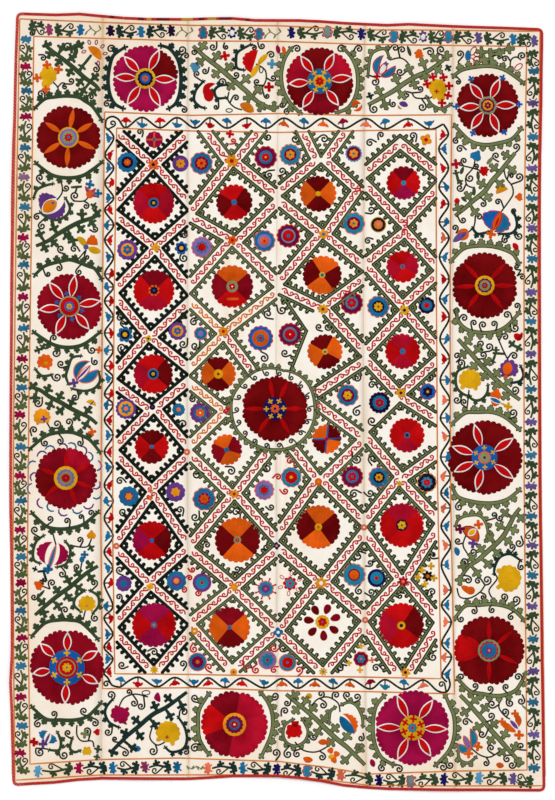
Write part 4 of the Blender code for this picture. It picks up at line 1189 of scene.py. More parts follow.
def curl(work, u, v, radius, silk, rng, width=1.9):
    """A thin spiral on a stem from the nearest branch, or on a short tail of its own."""
    near = [place for place in work.stems if radius * 1.1 < span(place, (u, v)) < 11]
    side = rng.choice((-1, 1))
    if near:
        foot = nearest_on(near, u, v)
    else:
        foot = polar(u, v, radius * 1.75, rng.uniform(0, 360))
    path = curl_path(foot, (u, v), radius, side, 0.85 + 0.09 * radius)
    widths = [width] * len(path)
    widths[-1] = width * 1.3
    work.ribbon(path, widths, silk, 0)
    end = path[-1]
    work.fill(disc(*end, 0.95, steps=8), silk, 0, grain=0)


def border_flower(work, silk, u, v, way, rng):
    """A flower of the narrow border: a dome of rounded petals on short feet, wider than high."""
    petals = [(3.3 * math.cos(angle), 4.7 * math.sin(angle), 1.45)
              for angle in (math.radians(-102 + 51 * number) for number in range(5))]
    dome = [(0.0, 0.0, 2.5), (0.0, 2.1, 2.3), (0.0, -2.1, 2.3), (-3.5, 3.0, 1.0), (-3.5, -3.0, 1.0), *petals]
    rounds = [
        (along + rng.uniform(-0.6, 0.6), across * rng.uniform(0.86, 1.12), radius * rng.uniform(0.9, 1.1))
        for along, across, radius in dome
    ]
    silk, _, hollow = silk.partition("_")
    if silk in ("teal", "grey"):
        wider = [(along, across, radius + 0.75) for along, across, radius in rounds]
        work.fill(cluster(u, v, way, wider, 54), "scroll_red", -1.5, grain=-way)
    work.fill(cluster(u, v, way, rounds, 54), silk, 2, grain=-way, dye_and_sheen=rng.uniform(-0.3, 0.3))
    if hollow:
        work.fill(blob(u, v, 5.0, 6.4, way, steps=16), "cream", 4, grain=-way)


def border_stem(work, start, end, curl_side, silk, rng):
    """The stem between two flowers of the narrow border, with its leaves and one curl beside it."""
    du, dv = end[0] - start[0], end[1] - start[1]
    length = math.hypot(du, dv)
    du, dv = du / length, dv / length
    side = 1 if curl_side in ("R", "dn") else -1
    nu, nv = (0.0, float(side)) if curl_side in ("dn", "up") else (float(side), 0.0)

    def spot(along, across):
        return start[0] + du * along + nu * across, start[1] + dv * along + nv * across

    def leaf(along, across, size, tip):
        u, v = spot(along, across)
        lobes = ((0.0, 0.0, 0.50), (0.66, 0.0, 0.40), (0.05, 0.66, 0.42), (0.05, -0.66, 0.42),
                 (-0.5, 0.0, 0.36))
        rounds = [(a * size, b * size, r * size * rng.uniform(0.9, 1.1)) for a, b, r in lobes]
        way = math.degrees(math.atan2(-(dv * tip[0] + nv * tip[1]), du * tip[0] + nu * tip[1]))
        work.fill(cluster(u, v, way, rounds, 26), silk, 0, grain=-way, dye_and_sheen=rng.uniform(-0.15, 0.15))

    back = length - 6.0
    path = curve_through([spot(4, 0.3), spot(back * 0.45, -1.8), spot(back * 0.75, -0.4), spot(back, 0)], 4)
    work.ribbon(path, [2.0 + 0.09 * i for i in range(len(path))], silk, 0)
    leaf(back * 0.44, -3.8, 3.7, (-0.3, -1.0))
    leaf(back * 0.84, -2.9, 4.0, (0.5, -1.0))
    leaf(back * 0.88, 2.8, 3.8, (0.3, 1.0))
    hand = 1 if (nu * dv - nv * du) > 0 else -1
    work.ribbon(curl_path(spot(back * 0.70, 0.0), spot(back * 0.38, 3.2), 3.2, hand, 1.1), 1.6, "line", 0)


def border_sprig(work, start, end, silk):
    """A thin sprig with small leaves, where a stem of the narrow border is left out."""
    way = heading(start, end)
    bends = [polar(*start, span(start, end) * t, way) for t in (0.32, 0.48, 0.64, 0.78)]
    bent = [(u, v + (1.4 if i % 2 else -1.4)) for i, (u, v) in enumerate(bends)]
    work.ribbon(curve_through(bent, 4), 1.1, silk, 0)
    for i, (u, v) in enumerate(bent):
        lean = way + (60 if i % 2 else -60)
        work.fill(blob(*polar(u, v, 2.0, lean), 5.2, 2.2, lean, 0.5), silk, 0, grain=-lean)


def meander_side(work, side, row, rng):
    """The meander's vine along one side, and a leaf in each of its bays."""
    (u0, v0), (u1, v1) = row["start"], row["end"]
    upright = side in ("left", "right")
    leaves = [(silk, float(place)) for silk, place in (item.split() for item in row["leaves"].split(","))]

    def spot(place, across):
        t = (place - v0) / (v1 - v0) if upright else (place - u0) / (u1 - u0)
        u, v = u0 + (u1 - u0) * t, v0 + (v1 - v0) * t
        return (u + across, v) if upright else (u, v + across)

    bends = list(row.get("lead", (row["start"],)))
    hand = -1
    for silk, place in leaves:
        bends.append(spot(place, -hand * row["swing"]))
        middle = spot(place, hand * 1.6)
        way = (90 if upright else 0) + rng.uniform(-20, 20) + (180 if rng.random() < 0.3 else 0)
        lean = rng.choice((-1, 1))
        bent = []
        for u, v in shaped(*middle, 1.0, way, BOAT, rng, 0.14):
            across, along = (u - middle[0], v - middle[1]) if upright else (v - middle[1], u - middle[0])
            across += lean * hand * (0.075 * along * along - 1.2)
            bent.append((middle[0] + across, v) if upright else (u, middle[1] + across))
        work.fill(bent, silk, 1, grain=-way, dye_and_sheen=rng.uniform(-0.2, 0.3))
        work.ribbon([spot(place, -hand * row["swing"] * 0.9), middle], 1.5, "line", 0)
        hand = -hand
    bends += row.get("tail", (row["end"],))
    work.ribbon(curve_through(bends, 7), 2.2, "line", 0)


def join(tree, source, target):
    tree.links.new(source, target)


def started(name, roughness=0.5, shine=0.3):
    """A new material of that name, its nodes and its shader."""
    material = bpy.data.materials.new(name)
    material.use_nodes = True
    shader = material.node_tree.nodes["Principled BSDF"]
    shader.inputs["Roughness"].default_value = roughness
    shader.inputs["Specular IOR Level"].default_value = shine
    return material, material.node_tree, shader


def raised(tree, shader, height, strength, distance):
    """Lets a height stand out in the light."""
    bump = tree.nodes.new("ShaderNodeBump")
    bump.inputs["Strength"].default_value = strength
    bump.inputs["Distance"].default_value = distance
    join(tree, height, bump.inputs["Height"])
    join(tree, bump.outputs[0], shader.inputs["Normal"])


def kept_between(tree, value):
    """A value held between 0 and 1."""
    clamp = tree.nodes.new("ShaderNodeClamp")
    join(tree, value, clamp.inputs[0])
    return clamp.outputs[0]


def math_node(tree, operation, first, second=None, third=None):
    """A Math node on sockets or plain values."""
    node = tree.nodes.new("ShaderNodeMath")
    node.operation = operation
    for index, value in enumerate((first, second, third)):
        if value is None:
            continue
        if isinstance(value, (int, float)):
            node.inputs[index].default_value = value
        else:
            tree.links.new(value, node.inputs[index])
    return node.outputs[0]


def waves(tree, value, length):
    """A sine of a value, one wave to a length."""
    return math_node(tree, "SINE", math_node(tree, "MULTIPLY", value, math.tau / length))


def axes(tree, vector):
    """The three parts of a vector."""
    split = tree.nodes.new("ShaderNodeSeparateXYZ")
    join(tree, vector, split.inputs[0])
    return split.outputs


def attribute(tree, name):
    node = tree.nodes.new("ShaderNodeAttribute")
    node.attribute_name = name
    return node.outputs["Fac"]


def noise_node(tree, vector, scale, detail=2.0, roughness=0.5):
    node = tree.nodes.new("ShaderNodeTexNoise")
    node.inputs["Scale"].default_value = scale
    node.inputs["Detail"].default_value = detail
    node.inputs["Roughness"].default_value = roughness
    tree.links.new(vector, node.inputs["Vector"])
    return node.outputs["Fac"]


def mix_node(tree, factor, first, second, mode="MIX"):
    node = tree.nodes.new("ShaderNodeMix")
    node.data_type = "RGBA"
    node.blend_type = mode
    for name, value in (("Factor", factor), ("A", first), ("B", second)):
        socket = node.inputs[name]
        if isinstance(value, (int, float)):
            socket.default_value = value
        elif isinstance(value, tuple):
            socket.default_value = (*value, 1.0)
        else:
            tree.links.new(value, socket)
    return node.outputs["Result"]


def streaks(tree, vector, scale, detail=2.0, roughness=0.5):
    """Noise that is drawn out more along one axis than another."""
    node = tree.nodes.new("ShaderNodeMapping")
    node.inputs["Scale"].default_value = scale
    join(tree, vector, node.inputs["Vector"])
    return noise_node(tree, node.outputs[0], 1.0, detail, roughness)


def couching_group():
    """Threads laid side by side and tied down with slanting stitches: height, shade and sheen. The shade
    darkens and lightens the colour by dye lots, by the tone given to each shape, by painted sheen along the
    lie of the threads and by painted shade in the grooves between threads. The sheen sets the roughness.
    """
    if "Couched silk" in bpy.data.node_groups:
        return bpy.data.node_groups["Couched silk"]
    group = bpy.data.node_groups.new("Couched silk", "ShaderNodeTree")
    for name in ("Height", "Shade", "Sheen"):
        group.interface.new_socket(name, in_out="OUTPUT", socket_type="NodeSocketFloat")
    out = group.nodes.new("NodeGroupOutput")
    uv = group.nodes.new("ShaderNodeUVMap")
    uv.uv_map = "stitch"
    along, across, _ = axes(group, uv.outputs[0])
    wobble = streaks(group, uv.outputs[0], (40, 220, 1))
    shifted = math_node(group, "MULTIPLY_ADD", wobble, 0.0005, across)
    thread = math_node(group, "MULTIPLY_ADD", waves(group, shifted, 0.0008), 0.5, 0.5)
    slant = math_node(group, "MULTIPLY_ADD", across, 0.6, along)
    tie = math_node(group, "FRACT", math_node(group, "MULTIPLY", slant, 1 / 0.0042))
    tie = math_node(group, "ABSOLUTE", math_node(group, "MULTIPLY_ADD", tie, 8, -4))
    tie = math_node(group, "MAXIMUM", math_node(group, "SUBTRACT", 1.0, tie), 0.0)
    height = math_node(group, "MULTIPLY_ADD", tie, 0.5, thread)
    join(group, height, out.inputs["Height"])
    # Painted sheen: streaks along the lie of the threads lighten and darken the colour as if the light caught
    # them; the same streaks vary the roughness.
    lie = streaks(group, uv.outputs[0], (26, 420, 1), 3.0, 0.6)
    coordinates = group.nodes.new("ShaderNodeTexCoord")
    lots = noise_node(group, coordinates.outputs["Object"], 22.0, 2.0)
    shade = math_node(group, "MULTIPLY_ADD", lie, 0.75, -0.375)
    shade = math_node(group, "ADD", shade, math_node(group, "MULTIPLY_ADD", lots, 1.1, -0.55))
    # The tone given to each shape: random dye for most shapes, painted sheen for the lobes and quarters of
    # the rosettes.
    shade = math_node(group, "ADD", shade, attribute(group, "dye_and_sheen"))
    # Painted shade: the colour is lighter on each thread's top and darker in the groove between threads,
    # following the thread height.
    shade = math_node(group, "MULTIPLY_ADD", math_node(group, "SUBTRACT", thread, 0.5), 0.22, shade)
    join(group, shade, out.inputs["Shade"])
    join(group, math_node(group, "MULTIPLY_ADD", lie, 0.35, 0.28), out.inputs["Sheen"])
    return group


def silk_material(name):
    """One dyed silk, made darker and lighter by the dye lot, by painted sheen along the lie of its threads
    and by painted shade in the grooves between them.
    """
    full = f"silk {name}"
    if full in bpy.data.materials:
        return bpy.data.materials[full]
    material, tree, shader = started(full)
    colour = linear(SILKS[name])
    group = tree.nodes.new("ShaderNodeGroup")
    group.node_tree = couching_group()
    factor = math_node(tree, "MULTIPLY_ADD", group.outputs["Shade"], 0.9, 0.5)
    dark = tuple(c * 0.58 for c in colour)
    light = tuple(min(1.0, c * 1.42 + 0.002) for c in colour)
    join(tree, mix_node(tree, kept_between(tree, factor), dark, light), shader.inputs["Base Color"])
    join(tree, group.outputs["Sheen"], shader.inputs["Roughness"])
    raised(tree, shader, group.outputs["Height"], 0.5, 0.0003)
    shader.inputs["Specular Tint"].default_value = (*[min(1.0, c * 2.2 + 0.01) for c in colour], 1.0)
    return material


def cotton_material():
    """Cream hand-woven cotton: uneven yarns, tan stains, yellowed towards the edge, and a tan line along each
    seam that is partly yellowing and partly painted shade of the fold at the seam.
    """
    if "woven cotton" in bpy.data.materials:
        return bpy.data.materials["woven cotton"]
    material, tree, shader = started("woven cotton", 0.9, 0.15)
    place = tree.nodes.new("ShaderNodeTexCoord").outputs["Object"]
    yarns = []
    for axis, scale in zip(axes(tree, place), ((60, 9, 1), (9, 60, 1))):
        shifted = math_node(tree, "MULTIPLY_ADD", streaks(tree, place, scale), 0.0012, axis)
        yarns.append(waves(tree, shifted, 0.0011))
    weave = math_node(tree, "MULTIPLY", *yarns)
    slubs = math_node(tree, "ADD", *(
        streaks(tree, place, scale, 3.0, 0.6) for scale in ((700, 16, 1), (16, 700, 1))
    ))
    blotches = noise_node(tree, place, 9.0, 4.0, 0.6)
    blotches = math_node(tree, "SUBTRACT", blotches, 0.5)
    # The tan mix takes the blotches and the per-point attribute, which holds the stains, the yellowed edge
    # and the painted shade along the seams.
    tan = math_node(tree, "MULTIPLY_ADD", blotches, 0.7, attribute(tree, "stain_and_seam_shade"))
    base = mix_node(tree, kept_between(tree, tan), linear((250, 243, 232)), linear((233, 200, 158)))
    darker = math_node(tree, "MULTIPLY_ADD", slubs, -0.10, 1.10)
    # Painted shade: the weave's high points are a little lighter and its hollows a little darker, following
    # the weave height used for the bump.
    darker = math_node(tree, "MULTIPLY_ADD", weave, 0.02, darker)
    value = tree.nodes.new("ShaderNodeHueSaturation")
    join(tree, base, value.inputs["Color"])
    join(tree, darker, value.inputs["Value"])
    join(tree, value.outputs[0], shader.inputs["Base Color"])
    raised(tree, shader, math_node(tree, "MULTIPLY_ADD", slubs, 0.8, weave), 0.35, 0.0003)
    return material


def braid_material():
    """Red loop braid with slanting flecks, and patches of darker and yellow thread on the top edge."""
    if "loop braid" in bpy.data.materials:
        return bpy.data.materials["loop braid"]
    material, tree, shader = started("loop braid", 0.75, 0.1)
    place = tree.nodes.new("ShaderNodeTexCoord").outputs["Object"]
    x, y, _ = axes(tree, place)
    slant = math_node(tree, "ADD", x, y)
    fleck = math_node(tree, "MULTIPLY_ADD", waves(tree, slant, 0.011), 0.5, 0.5)
    patch = noise_node(tree, place, 60.0, 2.0)
    pink = math_node(tree, "MULTIPLY", fleck, math_node(tree, "MULTIPLY", patch, 1.3))
    left = math_node(tree, "LESS_THAN", x, -0.86)
    pink = math_node(tree, "MULTIPLY", pink, math_node(tree, "MULTIPLY_ADD", left, 0.7, 0.3))
    base = mix_node(tree, pink, linear((182, 26, 24)), linear((224, 112, 98)))
    top = math_node(tree, "GREATER_THAN", y, 1.24)
    near = math_node(tree, "COMPARE", x, -0.33, 0.24)
    long_patch = streaks(tree, place, (18, 1, 1), 1.0)
    dark = math_node(tree, "GREATER_THAN", long_patch, 0.54)
    gold = math_node(tree, "LESS_THAN", long_patch, 0.42)
    where = math_node(tree, "MULTIPLY", top, near)
    base = mix_node(tree, math_node(tree, "MULTIPLY", where, dark), base, linear((120, 10, 14)))
    base = mix_node(tree, math_node(tree, "MULTIPLY", where, gold), base, linear((188, 140, 40)))
    join(tree, base, shader.inputs["Base Color"])
    raised(tree, shader, waves(tree, slant, 0.0016), 0.6, 0.0004)
    return material


# Tan stains on the cloth: place, reach, strength
STAINS = (
    (28, 200, 60, 0.3), (30, 420, 80, 0.3), (26, 640, 70, 0.28), (120, 26, 80, 0.32), (300, 30, 70, 0.28),
    (460, 36, 70, 0.3), (104, 60, 26, 0.3), (226, 262, 18, 0.55), (236, 310, 16, 0.4), (200, 600, 30, 0.34),
    (292, 600, 26, 0.3), (290, 470, 22, 0.34), (60, 770, 60, 0.3), (250, 770, 60, 0.22),
    (470, 775, 60, 0.26), (205, 540, 18, 0.2), (420, 268, 12, 0.3), (430, 320, 14, 0.34),
    (535, 300, 26, 0.3), (532, 620, 30, 0.25),
)
SEAM_LINES = (103, 188.5, 278, 364, 453.5)


def stain_and_seam_shade_at(x, y):
    """How tan the cloth is: more towards its edge and at its blots, and along its seams, where it is partly
    yellowing and partly painted shade of the fold at the seam.
    """
    u = x / UNIT + CHART_MIDDLE[0]
    v = CHART_MIDDLE[1] - y / UNIT
    total = 0.04
    inside = min(u - 14, 543 - u, v - 18, 782 - v)
    total += 0.20 * max(0.0, min(1.0, (26 - inside) / 16)) + 0.07 * max(0.0, min(1.0, (92 - inside) / 34))
    for su, sv, reach, strength in STAINS:
        total += 0.8 * strength * math.exp(-((u - su) ** 2 + (v - sv) ** 2) / (reach * reach))
    # Painted shade: a narrow tan line along each seam, strongest at the seam at 364, stands partly for the
    # shade of the fold at the seam.
    for seam in SEAM_LINES:
        strength = 0.42 if seam == 364 else 0.24
        total += strength * math.exp(-((u - seam) / 2.6) ** 2)
    return total


def made_active(piece):
    bpy.ops.object.select_all(action="DESELECT")
    bpy.context.view_layer.objects.active = piece
    piece.select_set(True)


def placed(name, mesh):
    """A piece made of a mesh, riding on the cloth."""
    piece = bpy.data.objects.new(name, mesh)
    bpy.context.scene.collection.objects.link(piece)
    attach(piece, "root")
    return piece


def panel_sheet(name):
    """The strip's own cloth, as the CAD strip lies, in fine cells with its yarns and creases."""
    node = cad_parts[name]
    sheet = bmesh.new()
    sheet.from_mesh(node.data)
    upper = [face for face in sheet.faces if face.normal.z > -0.6]
    bmesh.ops.delete(sheet, geom=upper, context="FACES")
    bmesh.ops.remove_doubles(sheet, verts=sheet.verts, dist=0.00005)
    bmesh.ops.join_triangles(
        sheet, faces=sheet.faces, angle_face_threshold=0.5, angle_shape_threshold=3.1,
    )
    bmesh.ops.subdivide_edges(sheet, edges=sheet.edges, cuts=6, use_grid_fill=True)
    bmesh.ops.recalc_face_normals(sheet, faces=sheet.faces)
    if sum(face.normal.z for face in sheet.faces) < 0:
        bmesh.ops.reverse_faces(sheet, faces=sheet.faces)
    mesh = bpy.data.meshes.new(f"{name}_cloth")
    sheet.to_mesh(mesh)
    sheet.free()
    stain_and_seam_shade = mesh.attributes.new("stain_and_seam_shade", "FLOAT", "POINT")
    stain_and_seam_shade.data.foreach_set("value", [stain_and_seam_shade_at(vert.co.x, vert.co.y) for vert in mesh.vertices])
    mesh.materials.append(cotton_material())
    piece = placed(mesh.name, mesh)
    shell = piece.modifiers.new("cloth", "SOLIDIFY")
    shell.thickness = settings().cloth_thickness
    shell.offset = 1.0
    made_active(piece)
    bpy.ops.object.modifier_apply(modifier=shell.name)
    piece.data.polygons.foreach_set("use_smooth", [True] * len(piece.data.polygons))
    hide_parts(name)
    return piece


class SuzaniSettings(bpy.types.PropertyGroup):
    """Sizes of the cloth and the silk."""

    cloth_thickness: bpy.props.FloatProperty(
        name="Cloth thickness", description="Thickness of the hand-woven cotton",
        default=0.0012, unit="LENGTH", subtype="DISTANCE",
    )
    silk_height: bpy.props.FloatProperty(
        name="Silk height", description="How far the laid silk stands off the cotton",
        default=0.0007, unit="LENGTH", subtype="DISTANCE",
    )
    layer_height: bpy.props.FloatProperty(
        name="Layer height", description="How far one silk stands above the silk it is sewn over",
        default=0.00014, unit="LENGTH", subtype="DISTANCE",
    )
    light_strength: bpy.props.FloatProperty(
        name="Light strength", description="Brightness of the white surroundings", default=0.75,
    )


class SUZANI_OT_cloth(bpy.types.Operator):
    """Lay the six strips of cotton."""

    bl_idname = "suzani.cloth"
    bl_label = "Cloth"

    def execute(self, context):
        strips = [panel_sheet(name) for name in PANELS]
        face = bmesh.new()
        for strip in strips:
            face.from_mesh(strip.data)
        Cloth.tree = BVHTree.FromBMesh(face)
        face.free()
        return {"FINISHED"}


class SUZANI_OT_binding(bpy.types.Operator):
    """Lay the braid that is folded over the edges."""

    bl_idname = "suzani.binding"
    bl_label = "Binding"

    def execute(self, context):
        for name in BINDINGS:
            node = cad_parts[name]
            braid = bmesh.new()
            braid.from_mesh(node.data)
            bmesh.ops.remove_doubles(braid, verts=braid.verts, dist=0.00005)
            bmesh.ops.join_triangles(
                braid, faces=braid.faces, angle_face_threshold=0.3, angle_shape_threshold=3.1,
            )
            long_edges = [edge for edge in braid.edges if edge.calc_length() > 0.02]
            bmesh.ops.subdivide_edges(braid, edges=long_edges, cuts=8, use_grid_fill=True)
            for vert in braid.verts:
                ripple = 0.0003 * noise.noise(vert.co * 60)
                vert.co.z += ripple if vert.co.z > 0.0015 else 0.0
            mesh = bpy.data.meshes.new(f"{name}_braid")
            braid.to_mesh(mesh)
            braid.free()
            mesh.materials.append(braid_material())
            piece = placed(mesh.name, mesh)
            made_active(piece)
            bpy.ops.object.shade_smooth_by_angle(angle=math.radians(50))
            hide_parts(name)
        return {"FINISHED"}


class SUZANI_OT_large_rosettes(bpy.types.Operator):
    """Sew the large rosettes of the border and the middle."""

    bl_idname = "suzani.large_rosettes"
    bl_label = "Large rosettes"

    def execute(self, context):
        rng = random.Random(7)
        work = Needlework()
        for row in LARGE_ROSETTES:
            large_rosette(work, row, rng)
        for u, v, count, radius, turn, size, silk in HUB_CROSSES:
            for k in range(count):
                way = turn + 360 * k / count
                place = polar(u, v, radius, way)
                work.fill(cross(*place, size, way), silk, 6, grain=way)
        work.build("large_rosettes")
        return {"FINISHED"}


class SUZANI_OT_lattice_rosettes(bpy.types.Operator):
    """Sew the rosettes of the diamonds, the roundels and the small flowers between them."""

    bl_idname = "suzani.lattice_rosettes"
    bl_label = "Lattice rosettes"

    def execute(self, context):
        rng = random.Random(11)
        work = Needlework()
        for row in LATTICE_ROSETTES:
            lattice_rosette(work, row, rng)
        for k in range(7):
            way = 18 + 360 * k / 7
            petal = blob(*polar(*SEVEN_PETALS, 13.6, way), 10.4, 8.4, way + 180, 0.35)
            work.fill(petal, "crimson" if k in (0, 1, 5) else "garnet", 0, grain=-way)
        rings(work, *SEVEN_PETALS, "yellow 7.2 14, red 4.9 6, blue 1.2", 1)
        for u, v, radius, scallops, text in ROUNDELS:
            turn = (u * 7) % 30
            if u > SEAM_LINES[1] and text.split()[0] in EDGED:
                edge = disc(u, v, radius + 0.75, scallops, 0.09 if scallops else 0.0, turn)
                work.fill(edge, EDGED[text.split()[0]], -1, grain=(u, v))
            rings(work, u, v, text, 0, turn)
        for k in range(8):
            tips = [polar(*SPOKED, reach, 22 + 45 * k) for reach in (7.0, 10.6)]
            work.ribbon(tips, 1.4, "red", 0)
            work.fill(disc(*tips[1], 1.1, steps=8), "red", 0)
        for k in range(6):
            way = 22 + 60 * k
            oval = blob(*polar(*LOOPED, 10.2, way), 4.6, 2.8, way, steps=12)
            work.ribbon(oval + oval[:1], 0.8, "scroll_red", 0)
        for u, v, radius, petals, silk, heart in rows_of(CROSSING_FLOWERS):
            outline = disc(u, v, radius * 1.1, petals, 0.36, turn=(u * 3) % 60)
            work.fill(outline, silk, 1, grain=(u, v))
            work.fill(disc(u, v, radius * 0.36), heart, 3, grain=(u, v))
        work.build("lattice_rosettes")
        return {"FINISHED"}


def toothed_side(work, path, side, style):
    """One side of a diamond, sewn the way its strip is, with its teeth to the given side."""
    if style == "black":
        toothed(work, path, "black", side, width=3.6, pitch=6.4, reach=4.6, tooth=4.1)
        for place in path:
            work.fill(disc(*place, 1.75, steps=12), "black", 0)
        return
    dark, edge = ("black", 0.0) if style == "outlined" else ("line", -0.5)
    seam = moved(path, 0.2 * side)
    toothed(work, seam, dark, side, width=4.0 + edge, pitch=6.7, reach=4.8 + edge / 2, tooth=4.3 + edge)
    toothed(work, seam, "green", side, width=1.5, pitch=6.7, reach=3.9, tooth=1.8, level=2)
    for place in seam:
        work.fill(disc(*place, 1.95 + edge / 2, steps=12), dark, 0)
        work.fill(disc(*place, 0.75, steps=10), "green", 2)


def moved(path, distance):
    """A straight path moved sideways, to the side that its teeth point to when the distance is positive."""
    (u0, v0), (u1, v1) = path[0], path[-1]
    length = math.hypot(u1 - u0, v1 - v0) or 1.0
    nu, nv = -(v1 - v0) / length * distance, (u1 - u0) / length * distance
    return [(u + nu, v + nv) for u, v in path]


def meeting(first, second):
    """Where two lines cross, each through two places."""
    (au, av), (bu, bv) = first
    (cu, cv), (du, dv) = second
    under = (bu - au) * (dv - cv) - (bv - av) * (du - cu)
    if abs(under) < 1e-6:
        return second[0]
    t = ((cu - au) * (dv - cv) - (cv - av) * (du - cu)) / under
    return au + (bu - au) * t, av + (bv - av) * t


def clipped(a, b, bounds):
    """The stretches of a line that lie in its strip of the field and outside the ring round the middle."""
    left, right, top, bottom = bounds
    low, high = 0.0, 1.0
    for start, step, least, most in ((a[0], b[0] - a[0], left, right), (a[1], b[1] - a[1], top, bottom)):
        if abs(step) < 1e-6:
            if not least <= start <= most:
                return []
            continue
        near, far = sorted(((least - start) / step, (most - start) / step))
        low, high = max(low, near), min(high, far)
    if high <= low:
        return []
    *middle, reach = MIDDLE_RING
    count = 60
    kept, run = [], []
    for i in range(count + 1):
        place = between(a, b, low + (high - low) * i / count)
        if span(middle, place) > reach:
            run.append(place)
        elif run:
            kept.append((run[0], run[-1]))
            run = []
    if run:
        kept.append((run[0], run[-1]))
    return [pair for pair in kept if span(*pair) > 5]


def sides_of(row):
    """A diamond's sides by their letters: u upper left, r upper right, d lower right, l lower left."""
    left, top, right, bottom = (row[0], row[1]), (row[2], row[3]), (row[4], row[5]), (row[6], row[7])
    return {"u": (left, top), "r": (top, right), "d": (right, bottom), "l": (bottom, left)}


class SUZANI_OT_lattice(bpy.types.Operator):
    """Sew the toothed diamonds and the scrolls between them."""

    bl_idname = "suzani.lattice"
    bl_label = "Lattice"

    def execute(self, context):
        rng = random.Random(3)
        frames, scrolls = Needlework(), Needlework()
        for strip, rows in DIAMONDS.items():
            bounds = (*STRIP_BOUNDS[strip], FIELD_TOP, FIELD_BOTTOM)
            for number, row in enumerate(rows):
                above = sides_of(rows[number - 1]) if number else None
                below = sides_of(rows[number + 1]) if number + 1 < len(rows) else None
                for letter, (a, b) in sides_of(row).items():
                    sewn, banded = filled(row, 9, "urld", "urld")[9:]
                    if letter not in sewn:
                        continue
                    for start, end in clipped(a, b, bounds):
                        toothed_side(frames, [start, end], 1, row[8])
                    if letter not in banded:
                        continue
                    outer = moved([a, b], -BAND)
                    across = moved([a, b], -BAND / 2)
                    other = {"u": above and above["l"], "r": above and above["d"],
                             "d": below and below["r"], "l": below and below["u"]}[letter]
                    beside = sides_of(row)[{"u": "r", "r": "u", "d": "l", "l": "d"}[letter]]
                    if other or strip == "strip_5":
                        corner = meeting(outer, moved(list(other or beside), -BAND))
                        middle = meeting(across, moved(list(other or beside), -BAND / 2))
                        at_end = letter in "ud"
                        outer[1 if at_end else 0] = corner
                        across[1 if at_end else 0] = middle
                    warm = strip == "strip_3" and letter in {2: "dl", 3: "ul", 4: "u"}.get(number, "")
                    silk = "tangerine" if warm else "scroll_red"
                    for start, end in clipped(*stretched_out(outer, letter), bounds):
                        toothed_side(frames, [start, end], -1, row[8])
                    for start, end in clipped(*stretched_out(across, letter), bounds):
                        scroll(scrolls, shortened(start, end, 2.5), shortened(end, start, 2.5), silk,
                               1 if letter in "ul" else -1)
        for row in WEDGE_STRIPS:
            for start, end in zip(row[2:], row[3:]):
                toothed_side(frames, [start, end], row[1], row[0])
        frames.build("lattice_frames")
        scrolls.build("lattice_scrolls")
        return {"FINISHED"}


def shortened(start, end, amount):
    length = span(start, end) or 1.0
    return start[0] + (end[0] - start[0]) / length * amount, start[1] + (end[1] - start[1]) / length * amount


def stretched_out(line, letter):
    """A line run on past the seam, where its strip ends it."""
    a, b = line
    if letter in "ud":
        return shortened(a, b, -12), b
    return a, shortened(b, a, -12)


class SUZANI_OT_guards(bpy.types.Operator):
    """Sew the thin orange lines between the borders."""

    bl_idname = "suzani.guards"
    bl_label = "Guard lines"

    def execute(self, context):
        work = Needlework()
        for index, text in enumerate(GUARD_LINES):
            line, path = rows_of(text), []
            for a, b in zip(line, line[1:]):
                du, dv = b[0] - a[0], b[1] - a[1]
                steps = max(1, round(math.hypot(du, dv) / 9))
                path += [(a[0] + du * i / steps, a[1] + dv * i / steps) for i in range(steps)]
            path.append(line[-1])
            work.ribbon(path, 1.6 if index < 4 else 1.3, "guard", 0)
        work.build("guard_lines")
        return {"FINISHED"}


class SUZANI_OT_narrow_border(bpy.types.Operator):
    """Sew the flowers and leafy stems of the outer border."""

    bl_idname = "suzani.narrow_border"
    bl_label = "Narrow border"

    def execute(self, context):
        rng = random.Random(5)
        work = Needlework()
        for side, text in SIDE_FLOWERS.items():
            flowers = [item.split() for item in text.split(",")]
            way = {"left": 90, "right": 270, "top": 0, "bottom": 180}[side]
            before = None
            for silk, u, v, stem in flowers:
                place = (float(u), float(v))
                if silk != "none":
                    border_flower(work, silk, *place, way, rng)
                if before:
                    pair = (before, place) if side in ("left", "bottom") else (place, before)
                    first, last = DARK_STEMS.get(side, (0, 0))
                    green = "moss" if side == "left" else "pine" if first < place[0] < last else "leaf"
                    if kind == "sprig":
                        border_sprig(work, *pair, "green")
                    else:
                        border_stem(work, *pair, kind, green, rng)
                before, kind = place, stem
        work.build("narrow_border")
        return {"FINISHED"}


class SUZANI_OT_meander(bpy.types.Operator):
    """Sew the winding vine and its red and blue leaves."""

    bl_idname = "suzani.meander"
    bl_label = "Meander"

    def execute(self, context):
        rng = random.Random(9)
        work = Needlework()
        for side, row in MEANDER.items():
            meander_side(work, side, row, rng)
        for foot_u, foot_v, u, v in MEANDER_CURLS:
            work.ribbon(curl_path((foot_u, foot_v), (u, v), 3.2, 1, 1.1), 1.9, "line", 0)
        work.build("meander")
        return {"FINISHED"}


